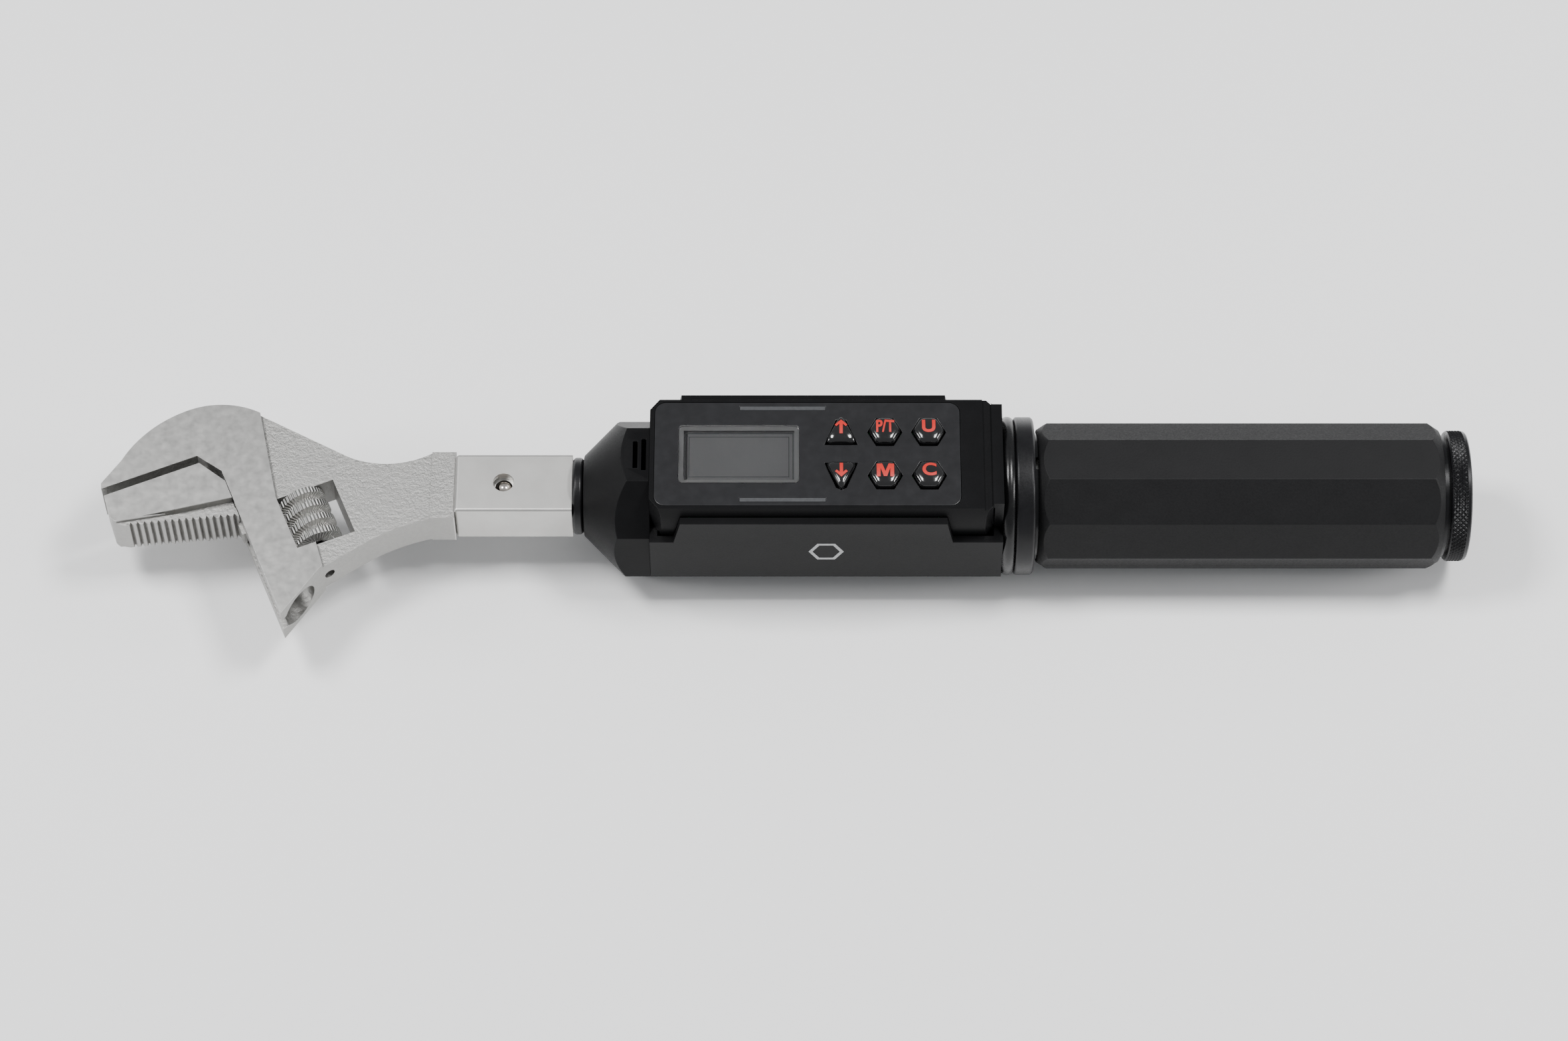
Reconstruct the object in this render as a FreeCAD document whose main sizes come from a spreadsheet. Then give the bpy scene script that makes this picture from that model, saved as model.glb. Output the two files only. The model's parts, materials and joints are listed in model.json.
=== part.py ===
"""Digital torque wrench with a plug-in adjustable open-end head.

Frame: the origin is on the tool's long axis at the mouth of the insert socket, where the shoulder
of the head seats. +X runs along the handle to the battery cap, +Z comes up out of the display.
The head is drawn in jaw axes as well: w along the jaw face to its tip, u in the opening direction.
"""
import FreeCAD, Part
import math
import os
import re
import Sketcher
from FreeCAD import Placement, Rotation, Vector

SIZES = {
    # insert socket and receptacle
    "tang_width": 12, "tang_height": 9, "tang_length": 20, "fit_gap": 0.05,
    "receptacle_length": 33.4, "receptacle_width": 19, "receptacle_height": 15,
    "socket_depth": 23, "ball_station": 13.8, "ball_hole_dia": 6, "groove_width": 5.2,
    "shank_dia": 18, "shank_end": 50, "collar_end": 36.7, "collar_dia": 22,
    # nose and housing
    "nose_end": 55.8, "nose_mouth_radius": 11.5, "housing_end": 155.8, "floor_z": -23, "top_z": 23,
    "top_half": 18.1, "ledge_half": 19, "shell_half": 21.5, "bottom_half": 13, "knee_z": -9,
    "ledge_z": 20, "low_ledge_z": 10, "wall": 2.2, "roof_z": 20.8,
    "skirt_front": 62.6, "skirt_rear": 141.6,
    "overlay_start": 57.1, "overlay_end": 143.8, "overlay_half": 17.2, "overlay_thick": 0.5,
    "window_start": 64, "window_end": 98.2, "window_half": 9.6,
    "bar_start": 81.3, "bar_end": 105.6, "bar_station": 15.2, "bar_width": 1.3,
    "button_first": 110, "button_step": 12.4, "button_row": 7.2, "button_half": 4.7,
    "button_rise": 2.4, "button_gap": 0.25,
    "post_front": 62, "post_rear": 144.6, "post_half": 9.8, "post_radius": 4.3, "screw_radius": 1.5,
    "board_start": 66.6, "board_end": 138.4, "board_z": 14.0, "board_thick": 1.6,
    # beam
    "beam_half_width": 5, "beam_half_height": 6, "gauge_half_height": 3.5, "beam_end": 176,
    "beam_pin_radius": 2, "front_pin": 42, "rear_pin": 166, "neck_start": 72, "neck_end": 97,
    # handle
    "tube_start": 149.2, "tube_radius": 18, "tube_bore": 16.5, "seal_end": 159.5, "band_end": 165,
    "ring_radius": 22.6, "grip_start": 166, "grip_end": 281, "grip_corner": 20.9,
    "cap_start": 283, "cap_end": 288.8, "cap_radius": 18.8, "spigot_start": 274,
    "cell_radius": 7.2, "cell_circle": 8.5, "cell_length": 50.5, "holder_start": 214,
    # head
    "shoulder": 6.9, "shoulder_half": 11, "shoulder_thick": 12.2, "polish_thick": 14.5,
    "web_thick": 11, "throat_x": -74.2, "throat_y": 9.1, "jaw_tilt": 22.5, "jaw_reach": 28.9,
    "slide_w": -4.8, "slide_length": 58.2, "jaw_gap": 2.5, "rod_w": -11.5, "rod_radius": 5.5,
    "rod_start": 6.5, "rod_end": 32, "worm_w": -22.8, "worm_radius": 7.5, "worm_start": 21.7,
    "worm_length": 16, "worm_pitch": 4.7, "worm_pin_radius": 1.5, "window_near": -16.2,
    "window_far": -33.4, "window_top": 21.4, "window_bottom": 40, "serrations": 16, "rack_gap": 3.1,
    "ball_radius": 2.4, "ball_z": 3.3,
}

doc = FreeCAD.newDocument("TorqueWrench")
sheet = doc.addObject("Spreadsheet::Sheet", "Sizes")
for row, (alias, number) in enumerate(SIZES.items(), start=1):
    sheet.set(f"A{row}", alias)
    sheet.set(f"B{row}", str(number))
    sheet.setAlias(f"B{row}", alias)
doc.recompute()
NODES = {}


# ---------------------------------------------------------------- helpers
def bound(expression):
    """An expression in which every size's name points at its cell of the sheet."""
    return re.sub(r"[a-z_]+", lambda word: "Sizes." + word[0] if word[0] in SIZES else word[0],
                  str(expression))


def size(expression):
    """The number that an expression gives now."""
    return float(sheet.evalExpression(bound(expression)))


def bind(thing, **properties):
    """Tie properties of an object to expressions; double underscores stand for dots."""
    for name, expression in properties.items():
        thing.setExpression(name.replace("__", "."), bound(expression))
    return thing


def new_body(name):
    return doc.addObject("PartDesign::Body", "body_" + name)


def sketch_on(body, role, at="0", jaw_axes=False):
    """A sketch on one of the body's own origin planes, lifted along the plane's normal."""
    sketch = body.newObject("Sketcher::SketchObject", "outline")
    support = [item for item in body.Origin.OriginFeatures if item.Role == role][0]
    sketch.AttachmentSupport = [(support, "")]
    sketch.MapMode = "FlatFace"
    bind(sketch, AttachmentOffset__Base__z=at)
    if jaw_axes:
        bind(sketch, AttachmentOffset__Base__x="throat_x", AttachmentOffset__Base__y="throat_y",
             AttachmentOffset__Rotation__Angle="180 + jaw_tilt")
    return sketch


def hold(sketch, kind, edge, end, expression, name):
    """Dimension a point of an edge from the sketch's origin."""
    index = sketch.addConstraint(Sketcher.Constraint(kind, -1, 1, edge, end, size(expression)))
    sketch.renameConstraint(index, name)
    sketch.setExpression("Constraints." + name, bound(expression))


def arc_between(start, end, radius):
    """The short arc from start to end; a positive radius turns anticlockwise."""
    chord = end - start
    side = Vector(-chord.y, chord.x, 0) * (math.copysign(1, radius) / chord.Length)
    centre = (start + end) * 0.5 + side * math.sqrt(radius ** 2 - chord.Length ** 2 / 4)
    first, last = (start, end) if radius > 0 else (end, start)
    angles = [math.atan2(point.y - centre.y, point.x - centre.x) for point in (first, last)]
    return Part.ArcOfCircle(Part.Circle(centre, Vector(0, 0, 1), abs(radius)), *angles)


def outline(sketch, *points):
    """Close an outline. (x, y) is reached by a straight edge, (x, y, r) by an arc of radius r."""
    places = [Vector(size(point[0]), size(point[1]), 0) for point in points]
    ends = []
    for index, point in enumerate(points):
        before = places[index - 1]
        radius = size(point[2]) if len(point) > 2 else 0
        shape = arc_between(before, places[index], radius) if radius else Part.LineSegment(
            before, places[index])
        edge = sketch.addGeometry(shape)
        ends.append((edge, 1, 2) if radius >= 0 else (edge, 2, 1))
        if radius:
            sketch.addConstraint(Sketcher.Constraint("Radius", edge, abs(radius)))
    first = ends[0][0]
    for index, (edge, start, end) in enumerate(ends):
        following = ends[(index + 1) % len(ends)]
        sketch.addConstraint(Sketcher.Constraint("Coincident", edge, end, following[0], following[1]))
        hold(sketch, "DistanceX", edge, end, points[index][0], f"x{edge - first}_{edge}")
        hold(sketch, "DistanceY", edge, end, points[index][1], f"y{edge - first}_{edge}")
    return sketch


def rectangle(sketch, left, low, right, high):
    return outline(sketch, (left, low), (right, low), (right, high), (left, high))


def soft_rectangle(sketch, left, low, right, high, radius):
    """A rectangle with quarter-round corners."""
    return outline(sketch, (f"{left} + {radius}", low, radius), (f"{right} - {radius}", low),
                   (right, f"{low} + {radius}", radius), (right, f"{high} - {radius}"),
                   (f"{right} - {radius}", high, radius), (f"{left} + {radius}", high),
                   (left, f"{high} - {radius}", radius), (left, f"{low} + {radius}"))


def circle(sketch, x, y, radius):
    """A circle with its centre and radius dimensioned."""
    edge = sketch.addGeometry(Part.Circle(Vector(size(x), size(y), 0), Vector(0, 0, 1), size(radius)))
    hold(sketch, "DistanceX", edge, 3, x, f"x_{edge}")
    hold(sketch, "DistanceY", edge, 3, y, f"y_{edge}")
    index = sketch.addConstraint(Sketcher.Constraint("Radius", edge, size(radius)))
    sketch.renameConstraint(index, f"r_{edge}")
    sketch.setExpression(f"Constraints.r_{edge}", bound(radius))
    return sketch


def feature(body, kind, sketch, adds):
    """A sketched feature that has to change the body's volume the right way."""
    doc.recompute()
    before = 0 if body.Shape.isNull() else body.Shape.Volume
    made = body.newObject("PartDesign::" + kind, kind)
    made.Profile = sketch
    body.Tip = made
    return made, before, adds


def settle(body, made, before, adds):
    doc.recompute()
    change = body.Shape.Volume - before
    if (change > 0) != adds or abs(change) < 1e-3:
        raise RuntimeError(f"{body.Name}: {made.Name} changes the volume by {change:.3f}")
    return made


def pad(body, sketch, length, both=False):
    made, before, adds = feature(body, "Pad", sketch, True)
    bind(made, Length=length)
    made.Midplane = both
    return settle(body, made, before, adds)


def pocket(body, sketch, length, both=False, forward=False):
    """Cut along the sketch's normal when forward, against it when not, or both ways."""
    made, before, adds = feature(body, "Pocket", sketch, False)
    bind(made, Length=length)
    made.Midplane = both
    made.Reversed = forward
    return settle(body, made, before, adds)


def turn(body, sketch, cut=False, axis="H_Axis"):
    made, before, adds = feature(body, "Groove" if cut else "Revolution", sketch, not cut)
    made.ReferenceAxis = (sketch, [axis])
    made.Angle = 360
    return settle(body, made, before, adds)


def round_over(body, radius, wanted):
    """Round the edges of the body that the test picks out."""
    base = body.Tip
    edges = [f"Edge{number}" for number, edge in enumerate(body.Shape.Edges, 1) if wanted(edge)]
    rounded = body.newObject("PartDesign::Fillet", "rounded")
    rounded.Base = (base, edges)
    bind(rounded, Radius=radius)
    body.Tip = rounded
    doc.recompute()


def node(name, thing):
    """Give the finished object its node's name."""
    thing.Label = name
    NODES[name] = thing
    return thing


def box(left, front, low, length, width, height):
    made = doc.addObject("Part::Box", "block")
    return bind(made, Length=length, Width=width, Height=height, Placement__Base__x=left,
                Placement__Base__y=front, Placement__Base__z=low)


def rod(x, y, z, radius, length, axis="z"):
    """A cylinder that starts at a point and runs along +x, +y or +z."""
    made = doc.addObject("Part::Cylinder", "rod")
    turns = {"x": Rotation(Vector(0, 1, 0), 90), "y": Rotation(Vector(1, 0, 0), -90), "z": Rotation()}
    made.Placement = Placement(Vector(), turns[axis])
    return bind(made, Radius=radius, Height=length, Placement__Base__x=x, Placement__Base__y=y,
                Placement__Base__z=z)


def free_rod(radius, length):
    """A cylinder along z that is placed afterwards."""
    return bind(doc.addObject("Part::Cylinder", "rod"), Radius=radius, Height=length)


def cut(base, *tools):
    made = doc.addObject("Part::Cut", "cut")
    made.Base = base
    made.Tool = tools[0] if len(tools) == 1 else fuse(*tools)
    return made


def fuse(*shapes):
    made = doc.addObject("Part::MultiFuse", "union")
    made.Shapes = list(shapes)
    return made


def common(*shapes):
    made = doc.addObject("Part::MultiCommon", "shared")
    made.Shapes = list(shapes)
    return made


def group(*shapes):
    """Separate solids that share one node."""
    made = doc.addObject("Part::Compound", "group")
    made.Links = list(shapes)
    return made


def coil(radius, wire, pitch, height):
    """A round-wire compression spring that stands on its own origin along z."""
    spine = bind(doc.addObject("Part::Helix", "spine"), Radius=radius, Pitch=pitch, Height=height)
    section = bind(doc.addObject("Part::Circle", "section"), Radius=wire)
    section.Placement = Placement(Vector(size(radius), 0, 0), Rotation(Vector(1, 0, 0), 90))
    sweep = doc.addObject("Part::Sweep", "coil")
    sweep.Sections = [section]
    doc.recompute()
    sweep.Spine = (spine, ["Edge1"])
    sweep.Solid = True
    sweep.Frenet = True
    return sweep


def jaw_point(w, u, z=0):
    """A point of the jaw axes in the tool's frame."""
    tilt = math.radians(SIZES["jaw_tilt"])
    x = SIZES["throat_x"] - w * math.cos(tilt) + u * math.sin(tilt)
    y = SIZES["throat_y"] - w * math.sin(tilt) - u * math.cos(tilt)
    return Vector(x, y, z)


def along_u(w, u):
    """A placement at a point of the jaw axes whose z axis is u and whose x axis is w."""
    w_axis = jaw_point(1, 0) - jaw_point(0, 0)
    u_axis = jaw_point(0, 1) - jaw_point(0, 0)
    return Placement(jaw_point(w, u), Rotation(w_axis, Vector(0, 0, -1), u_axis, "ZXY"))


# ---------------------------------------------------------------- receptacle and nose
def make_receptacle():
    """Square-shouldered steel receptacle with a round shank and a pinned bore for the beam."""
    body = new_body("drive_receptacle")
    block = sketch_on(body, "YZ_Plane")
    pad(body, rectangle(block, "-receptacle_width/2", "-receptacle_height/2", "receptacle_width/2",
                        "receptacle_height/2"), "receptacle_length")
    round_over(body, "0.9", lambda edge: edge.BoundBox.XLength > 1 or edge.BoundBox.XMax < 0.1)
    pad(body, circle(sketch_on(body, "YZ_Plane", "receptacle_length"), "0", "0", "shank_dia/2"),
        "shank_end - receptacle_length")
    pocket(body, rectangle(sketch_on(body, "YZ_Plane"), "-tang_width/2 - fit_gap",
                           "-tang_height/2 - fit_gap", "tang_width/2 + fit_gap",
                           "tang_height/2 + fit_gap"), "socket_depth", forward=True)
    pocket(body, rectangle(sketch_on(body, "YZ_Plane"), "-groove_width/2", "0", "groove_width/2",
                           "5.9"), "ball_station", forward=True)
    pocket(body, circle(sketch_on(body, "XY_Plane"), "ball_station", "0", "ball_hole_dia/2"), "10",
           forward=True)
    pocket(body, circle(sketch_on(body, "YZ_Plane", "shank_end"), "0", "0", "5.05"), "20")
    pocket(body, circle(sketch_on(body, "XY_Plane"), "front_pin", "0", "beam_pin_radius + 0.03"), "40",
           both=True)
    node("drive_receptacle", body)


def make_collar():
    """Turned ring between the receptacle block and the nose."""
    body = new_body("neck_collar")
    turn(body, outline(sketch_on(body, "XZ_Plane"), ("receptacle_length", "shank_dia/2 + 0.05"),
                       ("collar_end", "shank_dia/2 + 0.05"), ("collar_end", "collar_dia/2 - 0.8"),
                       ("collar_end - 0.9", "collar_dia/2"), ("receptacle_length + 0.8", "collar_dia/2"),
                       ("receptacle_length", "collar_dia/2 - 0.8")))
    node("neck_collar", body)


def nose_section(sketch, inset=0):
    """Faceted section of the nose: flat top flush with the display, flat underside."""
    return outline(sketch, (f"-8.8 + {inset}/2", f"top_z - 0.4 - {inset}"),
                   (f"-19.6 + {inset}", "8.8"), (f"-shell_half + {inset}", "knee_z"),
                   (f"-bottom_half + {inset}/2", f"floor_z + {inset}"),
                   (f"bottom_half - {inset}/2", f"floor_z + {inset}"),
                   (f"shell_half - {inset}", "knee_z"), (f"19.6 - {inset}", "8.8"),
                   (f"8.8 - {inset}/2", f"top_z - 0.4 - {inset}"))


def make_nose():
    """Hollow nose: a 45 degree cone trimmed by flat facets, with two vent slots on top."""
    cone = new_body("nose_cone_outside")
    turn(cone, outline(sketch_on(cone, "XZ_Plane"), ("collar_end", "0"), ("nose_end", "0"),
                       ("nose_end", "nose_mouth_radius + nose_end - collar_end"),
                       ("collar_end", "nose_mouth_radius")))
    prism = new_body("nose_facets")
    pad(prism, nose_section(sketch_on(prism, "YZ_Plane", "collar_end")), "nose_end - collar_end")
    hollow_cone = new_body("nose_hollow_cone")
    turn(hollow_cone, outline(sketch_on(hollow_cone, "XZ_Plane"), ("collar_end + 3", "0"),
                              ("nose_end + 1", "0"), ("nose_end + 1", "nose_mouth_radius + 17.2"),
                              ("collar_end + 3", "nose_mouth_radius")))
    hollow_prism = new_body("nose_hollow_prism")
    pad(hollow_prism, nose_section(sketch_on(hollow_prism, "YZ_Plane", "collar_end"), 2.2),
        "nose_end - collar_end + 1")
    slots = [box(left, f"-{half}", "15", "1.3", f"2*{half}", "12")
             for left, half in (("51.1", 4.4), ("53.5", 5.1))]
    mouth = rod("collar_end - 1", "0", "0", "shank_dia/2 + 0.05", "6", "x")
    node("nose_cone", cut(common(cone, prism), common(hollow_cone, hollow_prism), mouth, *slots))


def make_beam():
    """Measuring beam, necked at the gauges, pinned to the receptacle and to the handle plug."""
    body = new_body("load_beam")
    turn(body, outline(sketch_on(body, "XZ_Plane"), ("31", "0"), ("51", "0"), ("51", "5"), ("31", "5")))
    pad(body, rectangle(sketch_on(body, "YZ_Plane", "50.2"), "-beam_half_width", "-beam_half_height",
                        "beam_half_width", "beam_half_height"), "beam_end - 50.2")
    for side in (1, -1):
        neck = f"{side}*gauge_half_height"
        pocket(body, outline(sketch_on(body, "XZ_Plane"), ("neck_start", side * 8),
                             ("neck_start + 2.5", neck), ("neck_end - 2.5", neck),
                             ("neck_end", side * 8)), "20", both=True)
    pocket(body, circle(circle(sketch_on(body, "XY_Plane"), "front_pin", "0", "beam_pin_radius + 0.03"),
                        "rear_pin", "0", "beam_pin_radius + 0.03"), "40", both=True)
    node("load_beam", body)
    node("beam_pins", group(rod("front_pin", "0", "-8.9", "beam_pin_radius", "17.8"),
                            rod("rear_pin", "0", "-15.5", "beam_pin_radius", "31")))
    node("strain_gauges", group(box("79", "-3", "gauge_half_height", "11", "6", "0.2"),
                                box("79", "-3", "-gauge_half_height - 0.2", "11", "6", "0.2")))
    plug = cut(rod("157", "0", "0", "tube_bore - 0.05", "beam_end - 157", "x"),
               box("150", "-beam_half_width - 0.05", "-beam_half_height - 0.05", "40",
                   "2*beam_half_width + 0.1", "2*beam_half_height + 0.1"),
               rod("rear_pin", "0", "-20", "beam_pin_radius + 0.03", "40"))
    node("beam_plug", plug)


# ---------------------------------------------------------------- display housing
BUTTONS = {"button_up": (0, 1), "button_peak": (1, 1), "button_unit": (2, 1),
           "button_down": (0, -1), "button_memory": (1, -1), "button_clear": (2, -1)}


def button_place(name):
    column, side = BUTTONS[name]
    return f"button_first + {column}*button_step", f"{side}*button_row"


def button_outline(sketch, name, grow=0):
    """Triangles for the arrow keys, hexagons with corners fore and aft for the others."""
    x, y = button_place(name)
    side = BUTTONS[name][1]
    half = f"(button_half + {grow})"
    if name in ("button_up", "button_down"):
        return outline(sketch, (f"{x} - {half}*0.95", f"{y} - {side}*{half}*0.85"),
                       (f"{x} + {half}*0.95", f"{y} - {side}*{half}*0.85"),
                       (f"{x} + {half}*0.3", f"{y} + {side}*{half}*0.8"),
                       (f"{x}", f"{y} + {side}*{half}*0.96"),
                       (f"{x} - {half}*0.3", f"{y} + {side}*{half}*0.8"))
    return outline(sketch, (f"{x} - {half}", y), (f"{x} - {half}*0.5", f"{y} - {half}*0.92"),
                   (f"{x} + {half}*0.5", f"{y} - {half}*0.92"), (f"{x} + {half}", y),
                   (f"{x} + {half}*0.5", f"{y} + {half}*0.92"),
                   (f"{x} - {half}*0.5", f"{y} + {half}*0.92"))


def key_holes(body, at, depth):
    for name in BUTTONS:
        pocket(body, button_outline(sketch_on(body, "XY_Plane", at), name, size("button_gap")),
               depth)


def bar_slots(body, at, depth):
    for side in (1, -1):
        sketch = sketch_on(body, "XY_Plane", at)
        pocket(body, rectangle(sketch, "bar_start", f"{side}*bar_station - bar_width/2", "bar_end",
                               f"{side}*bar_station + bar_width/2"), depth)


def make_upper_housing():
    """Cover: flat top, sides that lean out to the parting line, deep skirts at both ends."""
    body = new_body("upper_housing")
    side_view = sketch_on(body, "XZ_Plane")
    pad(body, outline(side_view, ("nose_end", "low_ledge_z"), ("skirt_front", "low_ledge_z"),
                      ("skirt_front + 2", "ledge_z"), ("skirt_rear - 1.8", "ledge_z"),
                      ("skirt_rear", "low_ledge_z"),
                      ("housing_end", "low_ledge_z"), ("housing_end", "top_z"),
                      ("nose_end", "top_z")), "2*ledge_half", both=True)
    for side in (1, -1):
        lean = sketch_on(body, "YZ_Plane", "nose_end - 1")
        pocket(body, outline(lean, (f"{side}*top_half", "top_z"), (f"{side}*(ledge_half + 1)", "top_z"),
                             (f"{side}*(ledge_half + 1)", "ledge_z"), (f"{side}*ledge_half", "ledge_z")),
               "120", forward=True)
        corner = sketch_on(body, "XY_Plane", "top_z + 1")
        pocket(body, outline(corner, ("nose_end", f"{side}*(ledge_half + 1)"),
                             ("nose_end + 4.2", f"{side}*(ledge_half + 1)"),
                             ("nose_end", f"{side}*(top_half - 3.4)")), "40")
        tail = sketch_on(body, "XY_Plane", "top_z + 1")
        pocket(body, outline(tail, ("housing_end", f"{side}*(ledge_half + 1)"),
                             ("housing_end - 6", f"{side}*(ledge_half + 1)"),
                             ("housing_end - 2.8", f"{side}*(ledge_half - 2.4)"),
                             ("housing_end", f"{side}*(ledge_half - 2.4)")), "40")
    inside = sketch_on(body, "YZ_Plane", "nose_end + wall")
    pocket(body, rectangle(inside, "-ledge_half + wall", "0", "ledge_half - wall", "roof_z"),
           "housing_end - nose_end - 2*wall - 0.4", forward=True)
    for name in ("front", "rear"):
        posts = sketch_on(body, "XY_Plane", "low_ledge_z")
        for side in (1, -1):
            circle(posts, f"post_{name}", f"{side}*post_half", "post_radius")
        pad(body, posts, "roof_z - low_ledge_z + 0.2")
        holes = sketch_on(body, "XY_Plane", "low_ledge_z")
        for side in (1, -1):
            circle(holes, f"post_{name}", f"{side}*post_half", "screw_radius")
        pocket(body, holes, "8", forward=True)
    pocket(body, circle(sketch_on(body, "YZ_Plane", "tube_start - 1"), "0", "0", "tube_radius + 0.05"),
           "20", forward=True)
    pocket(body, circle(sketch_on(body, "YZ_Plane", "nose_end - 1"), "0", "0", "12"), "5", forward=True)
    recess = sketch_on(body, "XY_Plane", "top_z")
    pocket(body, soft_rectangle(recess, "overlay_start", "-overlay_half", "overlay_end",
                                "overlay_half", 3.3), "overlay_thick")
    pocket(body, soft_rectangle(sketch_on(body, "XY_Plane", "top_z"), "window_start", "-window_half",
                                "window_end", "window_half", 1.6), "1.3")
    pocket(body, rectangle(sketch_on(body, "XY_Plane", "top_z"), "window_start + 1.2",
                           "-window_half + 1.2", "window_end - 1.2", "window_half - 1.2"), "5")
    pocket(body, rectangle(sketch_on(body, "XY_Plane", "top_z"), "150.2", "-ledge_half - 1", "152.7",
                           "ledge_half + 1"), "0.8")
    key_holes(body, "top_z", "5")
    bar_slots(body, "top_z", "5")
    node("upper_housing", body)


def shell_section(sketch, inset=0):
    """Lower shell's section: upright sides, then slopes to a flat underside."""
    return outline(sketch, (f"-shell_half + {inset}", "ledge_z + 1"), (f"-shell_half + {inset}", "knee_z"),
                   (f"-bottom_half + {inset}*0.6", f"floor_z + {inset}"),
                   (f"bottom_half - {inset}*0.6", f"floor_z + {inset}"),
                   (f"shell_half - {inset}", "knee_z"), (f"shell_half - {inset}", "ledge_z + 1"))


def make_lower_housing():
    """Tub with screw posts; its rim is the parting line and steps down at both ends."""
    body = new_body("lower_housing")
    pad(body, shell_section(sketch_on(body, "YZ_Plane", "nose_end")), "housing_end - nose_end")
    trims = (("nose_end - 1", "skirt_front", "skirt_front + 2"),
             ("housing_end + 1", "skirt_rear", "skirt_rear - 1.8"))
    for outer, low, high in trims:
        trim = sketch_on(body, "XZ_Plane")
        pocket(body, outline(trim, (outer, "low_ledge_z"), (low, "low_ledge_z"), (high, "ledge_z"),
                             (high, "ledge_z + 2"), (outer, "ledge_z + 2")), "60", both=True)
    pocket(body, rectangle(sketch_on(body, "XZ_Plane"), "60", "ledge_z", "145", "ledge_z + 2"), "60",
           both=True)
    pocket(body, shell_section(sketch_on(body, "YZ_Plane", "nose_end + wall"), 2.2),
           "housing_end - nose_end - 2*wall - 0.4", forward=True)
    pocket(body, circle(sketch_on(body, "YZ_Plane", "tube_start"), "0", "0", "tube_radius + 0.05"),
           "20", forward=True)
    pocket(body, circle(sketch_on(body, "YZ_Plane", "nose_end - 1"), "0", "0", "12"), "5", forward=True)
    for name in ("front", "rear"):
        posts = sketch_on(body, "XY_Plane", "floor_z + 4")
        bores = sketch_on(body, "XY_Plane", "floor_z")
        shanks = sketch_on(body, "XY_Plane", "floor_z")
        for side in (1, -1):
            circle(posts, f"post_{name}", f"{side}*post_half", "post_radius")
            circle(bores, f"post_{name}", f"{side}*post_half", "post_radius - 1.3")
            circle(shanks, f"post_{name}", f"{side}*post_half", "screw_radius + 0.15")
        pad(body, posts, "low_ledge_z - floor_z - 4")
        pocket(body, bores, "18", forward=True)
        pocket(body, shanks, "60", forward=True)
    node("lower_housing", body)
    screws = []
    for name in ("front", "rear"):
        for side in (1, -1):
            place = (f"post_{name}", f"{side}*post_half")
            head = rod(*place, "floor_z + 15.4", "2.8", "2.6")
            hex_key = rod(*place, "floor_z + 15", "1.2", "1.8")
            screws.append(fuse(cut(head, hex_key), rod(*place, "floor_z + 18", "screw_radius - 0.05",
                                                       "22")))
    node("housing_screws", group(*screws))


def make_front_panel():
    """Overlay film, window lens, display module, light bars and their board."""
    film = new_body("panel_overlay")
    pad(film, soft_rectangle(sketch_on(film, "XY_Plane", "top_z - overlay_thick"),
                             "overlay_start + 0.1", "-overlay_half + 0.1", "overlay_end - 0.1",
                             "overlay_half - 0.1", 3.2), "overlay_thick")
    pocket(film, soft_rectangle(sketch_on(film, "XY_Plane", "top_z"), "window_start", "-window_half",
                                "window_end", "window_half", 1.6), "2")
    key_holes(film, "top_z", "2")
    bar_slots(film, "top_z", "2")
    node("panel_overlay", film)
    lens = new_body("lcd_window")
    pad(lens, soft_rectangle(sketch_on(lens, "XY_Plane", "top_z - 1.3"), "window_start + 0.05",
                             "-window_half + 0.05", "window_end - 0.05", "window_half - 0.05", 1.6),
        "1.25")
    node("lcd_window", lens)
    node("lcd_module", box("post_front + post_radius + 0.2", "-window_half - 0.8", "roof_z - 3",
                           "window_end + 0.6 - post_front - post_radius", "2*window_half + 1.6",
                           "2.9"))
    node("light_bars", group(*[box("bar_start + 0.05", f"{side}*bar_station - bar_width/2 + 0.05",
                                   "roof_z - 2", "bar_end - bar_start - 0.1", "bar_width - 0.1",
                                   "top_z - roof_z + 1.95") for side in (1, -1)]))
    node("circuit_board", box("board_start", "-16.2", "board_z", "board_end - board_start", "32.4",
                              "board_thick"))
    leds = [box(f"{84 + 9.2 * index}", f"{side}*bar_station - 0.75", "board_z + board_thick", "1.6",
                "1.5", "1.1") for index in range(3) for side in (1, -1)]
    node("indicator_leds", group(*leds))
    buzzer = cut(rod("120", "0", "board_z - 4.5", "6", "4.5"), rod("120", "0", "board_z - 5", "1", "2"))
    node("buzzer", buzzer)
    node("display_connector", box("76", "8.5", "board_z - 3", "12", "5", "3"))


def make_buttons():
    """Each key: a cap that stands proud, a flange under the roof, and its switch below."""
    bodies = []
    for name in BUTTONS:
        x, y = button_place(name)
        body = new_body(name)
        pad(body, button_outline(sketch_on(body, "XY_Plane", "roof_z - 0.3"), name),
            "top_z - roof_z + 0.3 + button_rise")
        top = size("top_z + button_rise") - 0.01
        round_over(body, "0.8", lambda edge: edge.BoundBox.ZMin > top)
        pad(body, button_outline(sketch_on(body, "XY_Plane", "roof_z - 1.1"), name, 0.7), "0.8")
        pad(body, circle(sketch_on(body, "XY_Plane", "roof_z - 1.6"), x, y, "1.6"), "0.6")
        node(name, body)
        low = "(board_z + board_thick)"
        base = cut(box(f"{x} - 3", f"{y} - 3", low, "6", "6", "2.2"),
                   rod(x, y, f"{low} + 0.1", "1.85", "3"))
        bodies.append(base)
        plunger = rod(x, y, f"{low} + 0.8", "1.75", f"roof_z - 1.6 - {low} - 0.8")
        node(name.replace("button", "plunger"), plunger)
    node("key_switches", group(*bodies))


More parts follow.
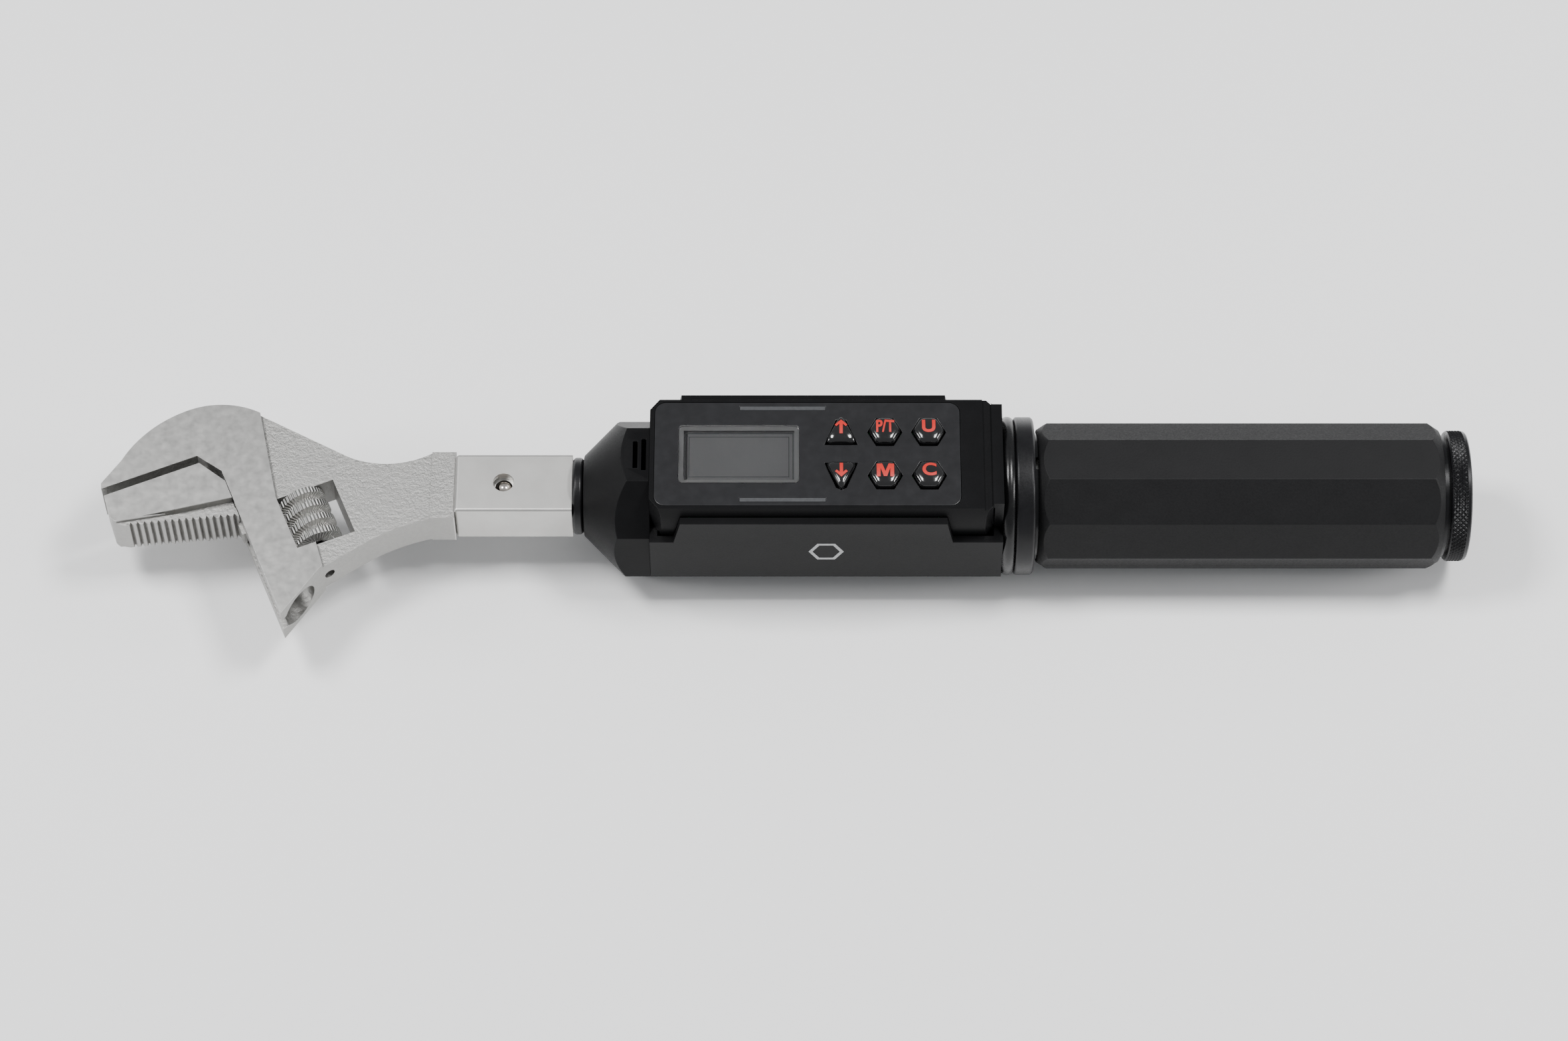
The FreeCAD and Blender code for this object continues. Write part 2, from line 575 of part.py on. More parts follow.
# ---------------------------------------------------------------- handle
def make_rings():
    """Rounded rubber seal and flat band between housing and grip."""
    seal = new_body("seal_ring")
    turn(seal, outline(sketch_on(seal, "XZ_Plane"), ("housing_end", "tube_radius + 0.05"),
                       ("seal_end", "tube_radius + 0.05"), ("seal_end", "ring_radius - 1"),
                       ("housing_end", "ring_radius - 1", 2.1)))
    node("seal_ring", seal)
    band = new_body("grip_collar")
    turn(band, outline(sketch_on(band, "XZ_Plane"), ("seal_end", "tube_radius + 0.05"),
                       ("band_end", "tube_radius + 0.05"), ("band_end", "ring_radius - 0.7"),
                       ("band_end - 0.7", "ring_radius"), ("seal_end + 0.5", "ring_radius"),
                       ("seal_end", "ring_radius - 0.5")))
    node("grip_collar", band)


GRIP_SIDES = 10


def make_grip():
    """Ten-sided rubber grip, flat on top, with coned ends, over the handle tube."""
    body = new_body("grip")
    pad(body, outline(sketch_on(body, "YZ_Plane", "grip_start"), *[
        (f"grip_corner*cos(360*({side} + 0.5)/{GRIP_SIDES} + 90)",
         f"grip_corner*sin(360*({side} + 0.5)/{GRIP_SIDES} + 90)")
        for side in range(GRIP_SIDES)]), "grip_end - grip_start")
    pocket(body, circle(sketch_on(body, "YZ_Plane", "grip_start"), "0", "0", "tube_radius + 0.05"),
           "grip_end - grip_start + 1", forward=True)
    for edge, run in (("grip_start", "3.2"), ("grip_end", "-3.2")):
        turn(body, outline(sketch_on(body, "XZ_Plane"), (f"{edge} - ({run})*0.1", "grip_corner - 2.2"),
                           (f"{edge} + {run}", "grip_corner + 0.1"),
                           (f"{edge} - ({run})*0.1", "grip_corner + 2")), cut=True)
    node("grip", body)


def make_tube():
    """Steel handle tube; its last stretch is turned down to show as a neck before the cap."""
    body = new_body("handle_tube")
    turn(body, outline(sketch_on(body, "XZ_Plane"), ("tube_start", "tube_bore"),
                       ("cap_start - 0.9", "tube_bore"), ("cap_start - 0.9", "tube_radius - 0.5"),
                       ("grip_end", "tube_radius - 0.5"), ("grip_end", "tube_radius"),
                       ("tube_start", "tube_radius")))
    pocket(body, circle(sketch_on(body, "XY_Plane"), "rear_pin", "0", "beam_pin_radius + 0.03"), "60",
           both=True)
    node("handle_tube", body)


def make_battery_bay():
    """Three cells in a caged holder, with a contact board in front of it."""
    end = "holder_start + cell_length + 5.5"
    cells = []
    pockets = []
    caps = []
    for angle in (90, 210, 330):
        y = f"cell_circle*cos({angle})"
        z = f"cell_circle*sin({angle})"
        start = "holder_start + 2.6"
        can = rod(start, y, z, "cell_radius", "cell_length - 1.2", "x")
        cells.append(fuse(can, rod("holder_start + 1.4 + cell_length", y, z, "2.7", "1.15", "x")))
        pockets.append(rod(start, y, z, "cell_radius + 0.15", "cell_length + 0.1", "x"))
        caps.append(rod("holder_start - 0.5", y, z, "3", "0.5", "x"))
    node("batteries", group(*cells))
    spine = rod("holder_start", "0", "0", "9.5", f"{end} - holder_start", "x")
    discs = fuse(rod("holder_start", "0", "0", "tube_bore - 0.3", "2.5", "x"),
                 rod(f"{end} - 2.8", "0", "0", "tube_bore - 0.3", "2.8", "x"))
    node("battery_holder", cut(fuse(spine, discs), *pockets))
    node("front_contacts", group(*caps))
    node("contact_board", rod("holder_start - 2.1", "0", "0", "tube_bore - 0.4", "1.6", "x"))


def make_cap():
    """Screw cap with a knurled rim, a spigot with an O-ring, and a sprung contact."""
    cap = new_body("battery_cap")
    turn(cap, outline(sketch_on(cap, "XZ_Plane"), ("spigot_start", "0"), ("cap_end", "0"),
                      ("cap_end", "cap_radius - 1.2"), ("cap_end - 1.2", "cap_radius"),
                      ("cap_start + 0.3", "cap_radius"), ("cap_start", "cap_radius - 0.3"),
                      ("cap_start", "tube_bore - 0.05"), ("spigot_start", "tube_bore - 0.05")))
    turn(cap, rectangle(sketch_on(cap, "XZ_Plane"), "cap_start - 3.4", "tube_bore - 1.1",
                        "cap_start - 1.8", "tube_bore + 1"), cut=True)
    turn(cap, rectangle(sketch_on(cap, "XZ_Plane"), "spigot_start - 1", "0", "spigot_start + 5",
                        "tube_bore - 3"), cut=True)
    node("battery_cap", cap)
    seal = doc.addObject("Part::Torus", "o_ring")
    seal.Placement = Placement(Vector(), Rotation(Vector(0, 1, 0), 90))
    bind(seal, Radius1="tube_bore - 0.62", Radius2="0.45", Placement__Base__x="cap_start - 2.6")
    node("cap_o_ring", seal)
    node("contact_plate", rod("spigot_start + 3.6", "0", "0", "tube_bore - 3.2", "1.4", "x"))
    spring = coil("5", "0.4", "1.9", "5.4")
    spring.Placement = Placement(Vector(size("spigot_start - 2.3"), 0, 0), Rotation(Vector(0, 1, 0), 90))
    node("contact_spring", spring)


# ---------------------------------------------------------------- adjustable head
CROWN = [("-shoulder", "shoulder_half"), ("-31", "9.7", -26.6), ("-57", "23.7"),
         ("-79", "23.9", 24.6), ("-95.8", "7.5", 35.5), ("-101.1", "-0.2")]


def in_tool_frame(w, u):
    """Expressions for a point of the jaw axes in the tool's frame."""
    return (f"throat_x - ({w})*cos(jaw_tilt) + ({u})*sin(jaw_tilt)",
            f"throat_y - ({w})*sin(jaw_tilt) - ({u})*cos(jaw_tilt)")


def make_head_body():
    """Forged head: recessed web, thicker polished jaw and slide, shoulder block and flat tang."""
    body = new_body("head_body")
    jaw_side = [in_tool_frame("jaw_reach", "0"), in_tool_frame("0", "0"),
                in_tool_frame("slide_w", "7.5"), in_tool_frame("slide_w", "slide_length"),
                in_tool_frame("-20.9", "47.7")]
    web = sketch_on(body, "XY_Plane")
    neck = [("-24", "-18.2"), ("-shoulder", "-shoulder_half", -60)]
    pad(body, outline(web, *CROWN, *jaw_side, *neck), "web_thick", both=True)
    flats = sketch_on(body, "XY_Plane")
    edge = [in_tool_frame("-21.8", "39.4"), in_tool_frame("window_near", "39"),
            in_tool_frame("window_near", "window_top")]
    pad(body, outline(flats, *CROWN[2:], *jaw_side, *edge), "polish_thick", both=True)
    pad(body, rectangle(sketch_on(body, "YZ_Plane", "-shoulder - 0.1"), "-shoulder_half",
                        "-shoulder_thick/2", "shoulder_half", "shoulder_thick/2"), "shoulder + 0.1")
    pad(body, rectangle(sketch_on(body, "YZ_Plane", "-0.1"), "-tang_width/2", "-tang_height/2",
                        "tang_width/2", "tang_height/2"), "tang_length + 0.1")
    opening = sketch_on(body, "XY_Plane", jaw_axes=True)
    pocket(body, rectangle(opening, "window_far", "window_top", "window_near", "window_bottom"), "30",
           both=True)
    slot = sketch_on(body, "XY_Plane", jaw_axes=True)
    pocket(body, rectangle(slot, "rod_w", "8.5", "slide_w + 1", "slide_length + 5"), "5.3", both=True)
    pocket(body, circle(sketch_on(body, "XY_Plane"), "ball_station", "0", "ball_radius + 0.1"), "7",
           forward=True)
    pit = sketch_on(body, "XY_Plane", "-2.4")
    pocket(body, circle(pit, "ball_station", "0", "ball_radius + 0.1"), "3", forward=True)
    rod_bore = free_rod("rod_radius + 0.1", "60")
    rod_bore.Placement = along_u(size("rod_w"), 3.6)
    pin_hole = free_rod("worm_pin_radius + 0.05", "40")
    pin_hole.Placement = along_u(size("worm_w"), 15)
    worm_room = free_rod("worm_radius + 0.4", "window_bottom - window_top")
    worm_room.Placement = along_u(size("worm_w"), size("window_top"))
    node("head_body", cut(cut(body, rod_bore, pin_hole), worm_room))


def make_movable_jaw():
    """Sliding jaw: gripping face, serrated back, web and toothed rod, drawn in the jaw axes."""
    body = new_body("movable_jaw")
    flats = sketch_on(body, "XY_Plane", jaw_axes=True)
    pad(body, outline(flats, ("0.3", "jaw_gap"), ("jaw_reach", "jaw_gap"), ("29.4", "10.1"),
                      ("25.5", "13.9", 5.6), ("slide_w + 0.2", "23"), ("slide_w + 0.2", "11")),
        "polish_thick", both=True)
    ledge = (("28.6", "11.8"), ("-6", "19.4"), ("-6", "26"), ("31", "17"))
    wedge = (("21", "13.1"), ("-6", "17.2"), ("-6", "20.6"))
    for level, edges in (("6.1", ledge), ("4.7", wedge)):
        for side, forward in (("", True), ("-", False)):
            step = sketch_on(body, "XY_Plane", side + level, jaw_axes=True)
            pocket(body, outline(step, *edges), "5", forward=forward)
    web = sketch_on(body, "XY_Plane", jaw_axes=True)
    pad(body, rectangle(web, "rod_w", "rod_start + 5", "slide_w + 1", "rod_end - 5"), "4.9", both=True)
    steps = size("serrations")
    start, end = Vector(24.6, 14.2), Vector(-3.6, 22.6)
    for tooth in range(int(steps)):
        middle = start + (end - start) * (tooth / (steps - 1))
        notch = sketch_on(body, "XY_Plane", jaw_axes=True)
        pocket(body, outline(notch, (middle.x - 0.8, middle.y + 1), (middle.x + 0.05, middle.y - 1.0),
                             (middle.x + 1.2, middle.y + 0.6)), "30", both=True)
    shank = free_rod("rod_radius", "rod_end - rod_start")
    teeth = []
    pitch = size("worm_pitch")
    for index in range(-5, 1):
        gap = bind(doc.addObject("Part::Box", "rack_gap"), Length="4", Width="rack_gap", Height="14")
        u = size("worm_start + 1.5*worm_pitch") + index * pitch
        root = jaw_point(size("worm_w + worm_radius + 0.45"), u)
        facing = Rotation(Vector(0, 0, 1), size("jaw_tilt"))
        seat = Placement(Vector(0, -size("rack_gap") / 2, -7), Rotation())
        gap.Placement = Placement(root, facing).multiply(seat)
        teeth.append(gap)
    shank.Placement = along_u(size("rod_w"), size("rod_start"))
    node("movable_jaw", fuse(body, cut(shank, *teeth)))


def make_worm():
    """Thumb worm: right-hand thread with a wide crest, bored for its pin and spring."""
    body = new_body("worm")
    pad(body, circle(sketch_on(body, "XY_Plane"), "0", "0", "worm_radius"), "worm_length")
    section = sketch_on(body, "XZ_Plane")
    outline(section, ("5.2", "-worm_pitch - 1.1"), ("8.1", "-worm_pitch - 1.45"),
            ("8.1", "-worm_pitch + 1.45"), ("5.2", "-worm_pitch + 1.1"))
    thread, before, adds = feature(body, "SubtractiveHelix", section, False)
    thread.ReferenceAxis = (section, ["V_Axis"])
    thread.Mode = "pitch-height-angle"
    bind(thread, Pitch="worm_pitch", Height="worm_length + 2*worm_pitch")
    settle(body, thread, before, adds)
    pocket(body, circle(sketch_on(body, "XY_Plane"), "0", "0", "worm_pin_radius + 0.05"),
           "worm_length + 1", forward=True)
    pocket(body, circle(sketch_on(body, "XY_Plane", "worm_length"), "0", "0", "3.2"), "2")
    body.Placement = along_u(size("worm_w"), size("worm_start"))
    node("worm", body)
    pin = free_rod("worm_pin_radius", "30")
    pin.Placement = along_u(size("worm_w"), 15.5)
    node("worm_pin", pin)
    spring = coil("2.45", "0.3", "1.3", "3.2")
    spring.Placement = along_u(size("worm_w"), size("worm_start + worm_length") - 1.55)
    node("worm_spring", spring)


def make_detent():
    """Sprung ball that locks the tang in the receptacle."""
    ball = doc.addObject("Part::Sphere", "ball")
    bind(ball, Radius="ball_radius", Placement__Base__x="ball_station", Placement__Base__z="ball_z")
    node("detent_ball", ball)
    spring = coil("1.9", "0.25", "1.0", "2.6")
    spring.Placement = Placement(Vector(size("ball_station"), 0, -2.1), Rotation())
    node("detent_spring", spring)


# ---------------------------------------------------------------- build, check, write
def check_document():
    """Stop at any failed object, and at any node that isn't one or more valid solids."""
    doc.recompute()
    failed = [item.Name for item in doc.Objects if {"Invalid", "Error"} & set(item.State)]
    if failed:
        raise RuntimeError(f"failed objects: {failed}")
    for name, thing in NODES.items():
        shape = thing.Shape
        if shape.isNull() or not shape.isValid() or not shape.Solids:
            raise RuntimeError(f"{name} has no valid solid")
        print(f"{name:20s} solids {len(shape.Solids):2d}  volume {shape.Volume:10.1f}")


def write_parts():
    os.makedirs("parts", exist_ok=True)
    for name, thing in NODES.items():
        thing.Shape.exportStep(f"parts/{name}.step")


for make in (make_receptacle, make_collar, make_nose, make_beam, make_upper_housing,
             make_lower_housing, make_front_panel, make_buttons, make_rings, make_grip, make_tube,
             make_battery_bay, make_cap, make_head_body, make_movable_jaw, make_worm, make_detent):
    make()
check_document()
write_parts()
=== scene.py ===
"""Looks of a digital torque wrench with a plug-in adjustable head, built round its CAD frame."""
import math
import json

import bmesh
import bpy
from bpy.props import FloatProperty, PointerProperty, StringProperty
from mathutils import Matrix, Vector


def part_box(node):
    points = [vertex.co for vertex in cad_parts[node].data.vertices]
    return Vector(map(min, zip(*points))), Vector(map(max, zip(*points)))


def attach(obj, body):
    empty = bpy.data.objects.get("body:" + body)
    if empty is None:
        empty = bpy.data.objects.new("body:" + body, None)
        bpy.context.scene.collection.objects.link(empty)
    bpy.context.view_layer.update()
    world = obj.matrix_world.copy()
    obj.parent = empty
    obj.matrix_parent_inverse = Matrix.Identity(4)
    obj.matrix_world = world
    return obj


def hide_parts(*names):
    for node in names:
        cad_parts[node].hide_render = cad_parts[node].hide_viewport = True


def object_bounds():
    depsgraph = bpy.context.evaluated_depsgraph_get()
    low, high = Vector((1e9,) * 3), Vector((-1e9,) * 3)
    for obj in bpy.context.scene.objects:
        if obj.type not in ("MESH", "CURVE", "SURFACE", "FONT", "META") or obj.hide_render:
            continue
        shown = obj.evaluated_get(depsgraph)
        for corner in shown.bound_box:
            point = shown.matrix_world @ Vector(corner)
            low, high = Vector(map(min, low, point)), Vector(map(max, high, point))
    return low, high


bl_info = {
    "name": "Digital torque wrench looks",
    "version": (1, 0, 0),
    "blender": (4, 5, 0),
    "location": "View3D > Sidebar > Wrench",
    "description": "Finishes, keys, knurls and stage for a digital torque wrench",
    "category": "Object",
}

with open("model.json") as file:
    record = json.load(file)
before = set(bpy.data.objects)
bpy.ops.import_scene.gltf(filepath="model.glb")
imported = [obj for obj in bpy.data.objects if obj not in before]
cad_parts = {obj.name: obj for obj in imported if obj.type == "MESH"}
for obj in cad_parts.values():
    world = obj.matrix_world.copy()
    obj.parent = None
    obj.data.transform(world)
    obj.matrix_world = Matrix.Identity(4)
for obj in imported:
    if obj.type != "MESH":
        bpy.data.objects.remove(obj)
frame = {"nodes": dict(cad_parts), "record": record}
CAD_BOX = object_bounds()
MM = 0.001
JAW_TILT = math.radians(22.5)
WORM_KNURLS = 45
SMOOTH_BELOW = 32
KEY_SMOOTH_BELOW = 70
CAP_SMOOTH_BELOW = 22
ROUND_ABOVE = math.radians(25)
COPLANAR_WITHIN = math.radians(0.5)
WELD = 1e-6


# ---------------------------------------------------------------- sizes and colours
def length(name, default, text):
    return FloatProperty(name=name, description=text, default=default, unit="LENGTH", precision=5)


def colour(name, default, text):
    return StringProperty(name=name, description=text, default=default)


class WrenchSizes(bpy.types.PropertyGroup):
    """Sizes that a user would change."""
    edge: length("Edge round", 0.0005, "Round on moulded and machined edges")
    knurl_pitch: length("Knurl pitch", 0.0016, "Distance between knurl crests on the cap")
    knurl_depth: length("Knurl depth", 0.0005, "Depth of the cap's diamond knurl")
    key_dome: length("Key dome", 0.0009, "Crown height of a key")
    camera_distance: length("Camera distance", 1.35, "Distance of the lens from the aim point")
    camera_elevation: FloatProperty(name="Camera elevation", description="Angle above the bench",
                                    default=math.radians(59), subtype="ANGLE")
    fill: FloatProperty(name="Frame fill", description="Share of the frame's width", default=0.87,
                        subtype="FACTOR")


class WrenchColours(bpy.types.PropertyGroup):
    """Colours, as sRGB hex."""
    steel: colour("Satin chrome", "#C3C2BF", "Head and receptacle")
    abs: colour("Housing", "#0F0F10", "Moulded housing")
    film: colour("Overlay", "#18181A", "Printed overlay film")
    keys: colour("Keys", "#0A0A0B", "Glossy key caps")
    legend: colour("Legends", "#B91E15", "Key legends")
    rubber: colour("Grip", "#111112", "Moulded grip")
    lcd: colour("Display", "#6E6E6E", "Unlit display")
    bench: colour("Bench", "#F1F1F1", "Plain floor")


def linear(hex_colour):
    """An sRGB hex value as linear RGBA."""
    parts = [int(hex_colour[place:place + 2], 16) / 255 for place in (1, 3, 5)]
    return tuple(part / 12.92 if part <= 0.04045 else ((part + 0.055) / 1.055) ** 2.4
                 for part in parts) + (1.0,)


# ---------------------------------------------------------------- material helpers
EVEN_GRAIN = {"Detail": 4.0, "Roughness": 0.55}
# The middle part of a pattern's values, which its tones and roughness are spread over.
PATTERN_RANGE = (0.3, 0.7)
EDGE_POINTINESS = (0.52, 0.6)


def add_node(tree, kind, links=None, **settings):
    """Add a shader node, set its sockets and properties, and link it."""
    made = tree.nodes.new(kind)
    for name, value in settings.items():
        if hasattr(made, name):
            setattr(made, name, value)
        else:
            made.inputs[name.replace("_", " ")].default_value = value
    for socket, source in (links or {}).items():
        tree.links.new(source, made.inputs[socket])
    return made


def new_material(name, base, metallic=0.0, roughness=0.5, **sockets):
    """A Principled material; returns it with its tree, shader and millimetre coordinates."""
    material = bpy.data.materials.new(name)
    material.use_nodes = True
    tree = material.node_tree
    shader = tree.nodes["Principled BSDF"]
    shader.inputs["Base Color"].default_value = base
    shader.inputs["Metallic"].default_value = metallic
    shader.inputs["Roughness"].default_value = roughness
    for socket, value in sockets.items():
        shader.inputs[socket.replace("_", " ")].default_value = value
    place = add_node(tree, "ShaderNodeTexCoord")
    grid = add_node(tree, "ShaderNodeVectorMath", {0: place.outputs["Object"]}, operation="SCALE")
    grid.inputs["Scale"].default_value = 1 / MM
    return material, tree, shader, grid.outputs[0]


def scaled(shade, factor):
    return tuple(channel * factor for channel in shade[:3]) + (1.0,)


def chosen(name):
    """One of the add-on's colours, as linear RGBA."""
    return linear(getattr(bpy.context.scene.wrench_colours, name))


def mottle(tree, shader, grid, size_mm, dark, light, kind="ShaderNodeTexNoise", **settings):
    """Vary the base colour between two tones, in a pattern size_mm across."""
    pattern = add_node(tree, kind, {"Vector": grid}, Scale=1 / size_mm, **(settings or EVEN_GRAIN))
    ramp = add_node(tree, "ShaderNodeValToRGB", {"Fac": pattern.outputs[0]})
    for stop, position, tone in zip(ramp.color_ramp.elements, PATTERN_RANGE, (dark, light)):
        stop.position = position
        stop.color = tone
    tree.links.new(ramp.outputs[0], shader.inputs["Base Color"])
    return ramp.outputs[0]


def vary_gloss(tree, shader, grid, size_mm, low, high, worn=None, **settings):
    """Vary the roughness in a grain size_mm across; handled edges are burnished to worn."""
    grain = add_node(tree, "ShaderNodeTexNoise", {"Vector": grid}, Scale=1 / size_mm,
                     **(settings or EVEN_GRAIN))
    gloss = add_node(tree, "ShaderNodeMapRange", {"Value": grain.outputs[0]},
                     From_Min=PATTERN_RANGE[0], From_Max=PATTERN_RANGE[1], To_Min=low, To_Max=high)
    if worn is not None:
        place = add_node(tree, "ShaderNodeNewGeometry")
        edges = add_node(tree, "ShaderNodeMapRange", {"Value": place.outputs["Pointiness"]},
                         From_Min=EDGE_POINTINESS[0], From_Max=EDGE_POINTINESS[1])
        gloss = add_node(tree, "ShaderNodeMix", {0: edges.outputs[0], 2: gloss.outputs[0]})
        gloss.inputs[3].default_value = worn
    tree.links.new(gloss.outputs[0], shader.inputs["Roughness"])


def emboss(tree, shader, grid, size_mm, height_mm, strength, **settings):
    """Give the surface a relief height_mm deep, in a grain size_mm across."""
    grain = add_node(tree, "ShaderNodeTexNoise", {"Vector": grid}, Scale=1 / size_mm,
                     **(settings or EVEN_GRAIN))
    relief = add_node(tree, "ShaderNodeBump", {"Height": grain.outputs[0]}, Strength=strength,
                      Distance=height_mm * MM)
    tree.links.new(relief.outputs[0], shader.inputs["Normal"])


# ---------------------------------------------------------------- finishes
def satin_chrome_blasted():
    """Chrome over blasted steel: bright, with a soft sparkle; its grit is drawn 0.25 mm to show."""
    shade = chosen("steel")
    material, tree, shader, grid = new_material("Satin chrome blasted steel", shade, 1.0, 0.42)
    mottle(tree, shader, grid, 9, scaled(shade, 0.9), scaled(shade, 1.02))
    vary_gloss(tree, shader, grid, 0.25, 0.38, 0.5, Detail=3, Roughness=0.55)
    emboss(tree, shader, grid, 0.25, 0.02, 0.35, Detail=3, Roughness=0.55)
    return material


# Millimetres over which the head's finish changes: off its middle plane, and along the tang.
POLISHED_ABOVE = (6.9, 7.1)
TANG_FROM = (-0.4, -0.2)


def satin_chrome_forged():
    """Chrome over a forging: flats and tang linished smooth; recessed web forged-skinned and
    painted darker as shade.
    """
    shade = chosen("steel")
    material, tree, shader, grid = new_material("Satin chrome forged steel", shade, 1.0, 0.3)
    place = add_node(tree, "ShaderNodeSeparateXYZ", {0: grid})
    outward = add_node(tree, "ShaderNodeMath", {0: place.outputs["Z"]}, operation="ABSOLUTE")
    thick = add_node(tree, "ShaderNodeMapRange", {"Value": outward.outputs[0]},
                     From_Min=POLISHED_ABOVE[0], From_Max=POLISHED_ABOVE[1])
    tang = add_node(tree, "ShaderNodeMapRange", {"Value": place.outputs["X"]},
                    From_Min=TANG_FROM[0], From_Max=TANG_FROM[1])
    flats = add_node(tree, "ShaderNodeMath", {0: thick.outputs[0], 1: tang.outputs[0]},
                     operation="MAXIMUM").outputs[0]
    tone = mottle(tree, shader, grid, 7, scaled(shade, 0.9), scaled(shade, 1.0))
    # The recessed web is painted 0.62 as bright as the flats: partly its duller forged skin, partly
    # painted shade in the recess.
    skin_and_shade = add_node(tree, "ShaderNodeMix", {"Factor": flats, 7: tone}, data_type="RGBA")
    skin_and_shade.inputs[6].default_value = scaled(shade, 0.62)
    tree.links.new(skin_and_shade.outputs[2], shader.inputs["Base Color"])
    skin = add_node(tree, "ShaderNodeTexNoise", {"Vector": grid}, Scale=1 / 1.2, Detail=6,
                    Roughness=0.68).outputs[0]
    linished = add_node(tree, "ShaderNodeTexNoise", {"Vector": grid}, Scale=1 / 2.5, **EVEN_GRAIN)
    dull = add_node(tree, "ShaderNodeMapRange", {"Value": skin}, From_Min=PATTERN_RANGE[0],
                    From_Max=PATTERN_RANGE[1], To_Min=0.34, To_Max=0.5)
    bright = add_node(tree, "ShaderNodeMapRange", {"Value": linished.outputs[0]},
                      From_Min=PATTERN_RANGE[0], From_Max=PATTERN_RANGE[1], To_Min=0.3, To_Max=0.38)
    rough = add_node(tree, "ShaderNodeMix", {0: flats, 2: dull.outputs[0], 3: bright.outputs[0]})
    tree.links.new(rough.outputs[0], shader.inputs["Roughness"])
    web = add_node(tree, "ShaderNodeMath", {1: flats}, operation="SUBTRACT")
    web.inputs[0].default_value = 1.02
    depth = add_node(tree, "ShaderNodeMath", {0: skin, 1: web.outputs[0]}, operation="MULTIPLY")
    relief = add_node(tree, "ShaderNodeBump", {"Height": depth.outputs[0]}, Strength=1.0,
                      Distance=0.2 * MM)
    tree.links.new(relief.outputs[0], shader.inputs["Normal"])
    return material


def ground_steel(name="Ground steel", shade="#9A9A98", rough=0.3):
    """Ground bar stock: an even fine scratch grain, drawn 0.2 mm across to show."""
    material, tree, shader, grid = new_material(name, linear(shade), 1.0, rough)
    vary_gloss(tree, shader, grid, 0.2, rough - 0.06, rough + 0.08, Detail=2, Roughness=0.55)
    emboss(tree, shader, grid, 0.2, 0.01, 0.3, Detail=2, Roughness=0.55)
    return material


def knurled_worm():
    """Bright turned worm whose crests are knurled along the axis, drawn 1 mm apart to show."""
    material, tree, shader, grid = new_material("Knurled worm steel", chosen("steel"), 1.0, 0.3)
    vary_gloss(tree, shader, grid, 0.8, 0.26, 0.36)
    low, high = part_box("worm_pin")
    from_axis = add_node(tree, "ShaderNodeVectorMath", {0: grid}, operation="SUBTRACT")
    from_axis.inputs[1].default_value = [(start + end) / 2 / MM for start, end in zip(low, high)]
    across = add_node(tree, "ShaderNodeVectorMath", {0: from_axis.outputs[0]},
                      operation="DOT_PRODUCT")
    across.inputs[1].default_value = (-math.cos(JAW_TILT), -math.sin(JAW_TILT), 0)
    up = add_node(tree, "ShaderNodeSeparateXYZ", {0: from_axis.outputs[0]})
    angle = add_node(tree, "ShaderNodeMath", {0: up.outputs["Z"], 1: across.outputs["Value"]},
                     operation="ARCTAN2")
    phase = add_node(tree, "ShaderNodeMath", {0: angle.outputs[0]}, operation="MULTIPLY")
    phase.inputs[1].default_value = WORM_KNURLS
    teeth = add_node(tree, "ShaderNodeMath", {0: phase.outputs[0]}, operation="SINE")
    relief = add_node(tree, "ShaderNodeBump", {"Height": teeth.outputs[0]}, Strength=0.8,
                      Distance=0.25 * MM)
    tree.links.new(relief.outputs[0], shader.inputs["Normal"])
    return material


def polished_ball():
    """Bearing-steel ball: mirror polish with faint handling haze."""
    return ground_steel("Polished ball steel", "#D6CFC8", 0.12)


def black_oxide():
    """Black-oxided turned steel: near black and half-gloss, burnished on its handled edges."""
    material, tree, shader, grid = new_material("Black oxide steel", linear("#111113"), 0.3, 0.34,
                                                Specular_IOR_Level=0.35)
    mottle(tree, shader, grid, 4, linear("#0E0E10"), linear("#151517"))
    vary_gloss(tree, shader, grid, 0.4, 0.28, 0.42, worn=0.2)
    emboss(tree, shader, grid, 0.3, 0.01, 0.3)
    return material


def moulded_abs():
    """ABS off a spark-eroded mould: soft, broad highlights; its grain is drawn 0.4 mm to show."""
    shade = chosen("abs")
    material, tree, shader, grid = new_material("Moulded black ABS", shade, 0.0, 0.42, IOR=1.54,
                                                Specular_IOR_Level=0.08)
    mottle(tree, shader, grid, 6, scaled(shade, 0.88), scaled(shade, 1.12))
    vary_gloss(tree, shader, grid, 0.4, 0.36, 0.48, worn=0.24)
    emboss(tree, shader, grid, 0.4, 0.03, 0.45)
    return material


def overlay_film():
    """Polyester overlay: smooth with a faint orange peel of 1.6 mm."""
    shade = chosen("film")
    material, tree, shader, grid = new_material("Polyester overlay film", shade, 0.0, 0.3, IOR=1.6,
                                                Specular_IOR_Level=0.3)
    mottle(tree, shader, grid, 12, scaled(shade, 0.94), scaled(shade, 1.06))
    vary_gloss(tree, shader, grid, 3, 0.26, 0.34)
    emboss(tree, shader, grid, 1.6, 0.005, 0.12, Detail=2, Roughness=0.55)
    return material


def glossy_key():
    """High-gloss moulded key caps with a clear coat and a trace of finger haze."""
    material, tree, shader, grid = new_material("Gloss moulded keys", chosen("keys"), 0.0, 0.12,
                                                Coat_Weight=0.6, Coat_Roughness=0.04)
    vary_gloss(tree, shader, grid, 1.2, 0.09, 0.18)
    return material


def legend_ink():
    """Pad-printed red ink, slightly uneven."""
    shade = chosen("legend")
    material, tree, shader, grid = new_material("Red legend ink", shade, 0.0, 0.45)
    mottle(tree, shader, grid, 0.5, scaled(shade, 0.9), shade)
    return material


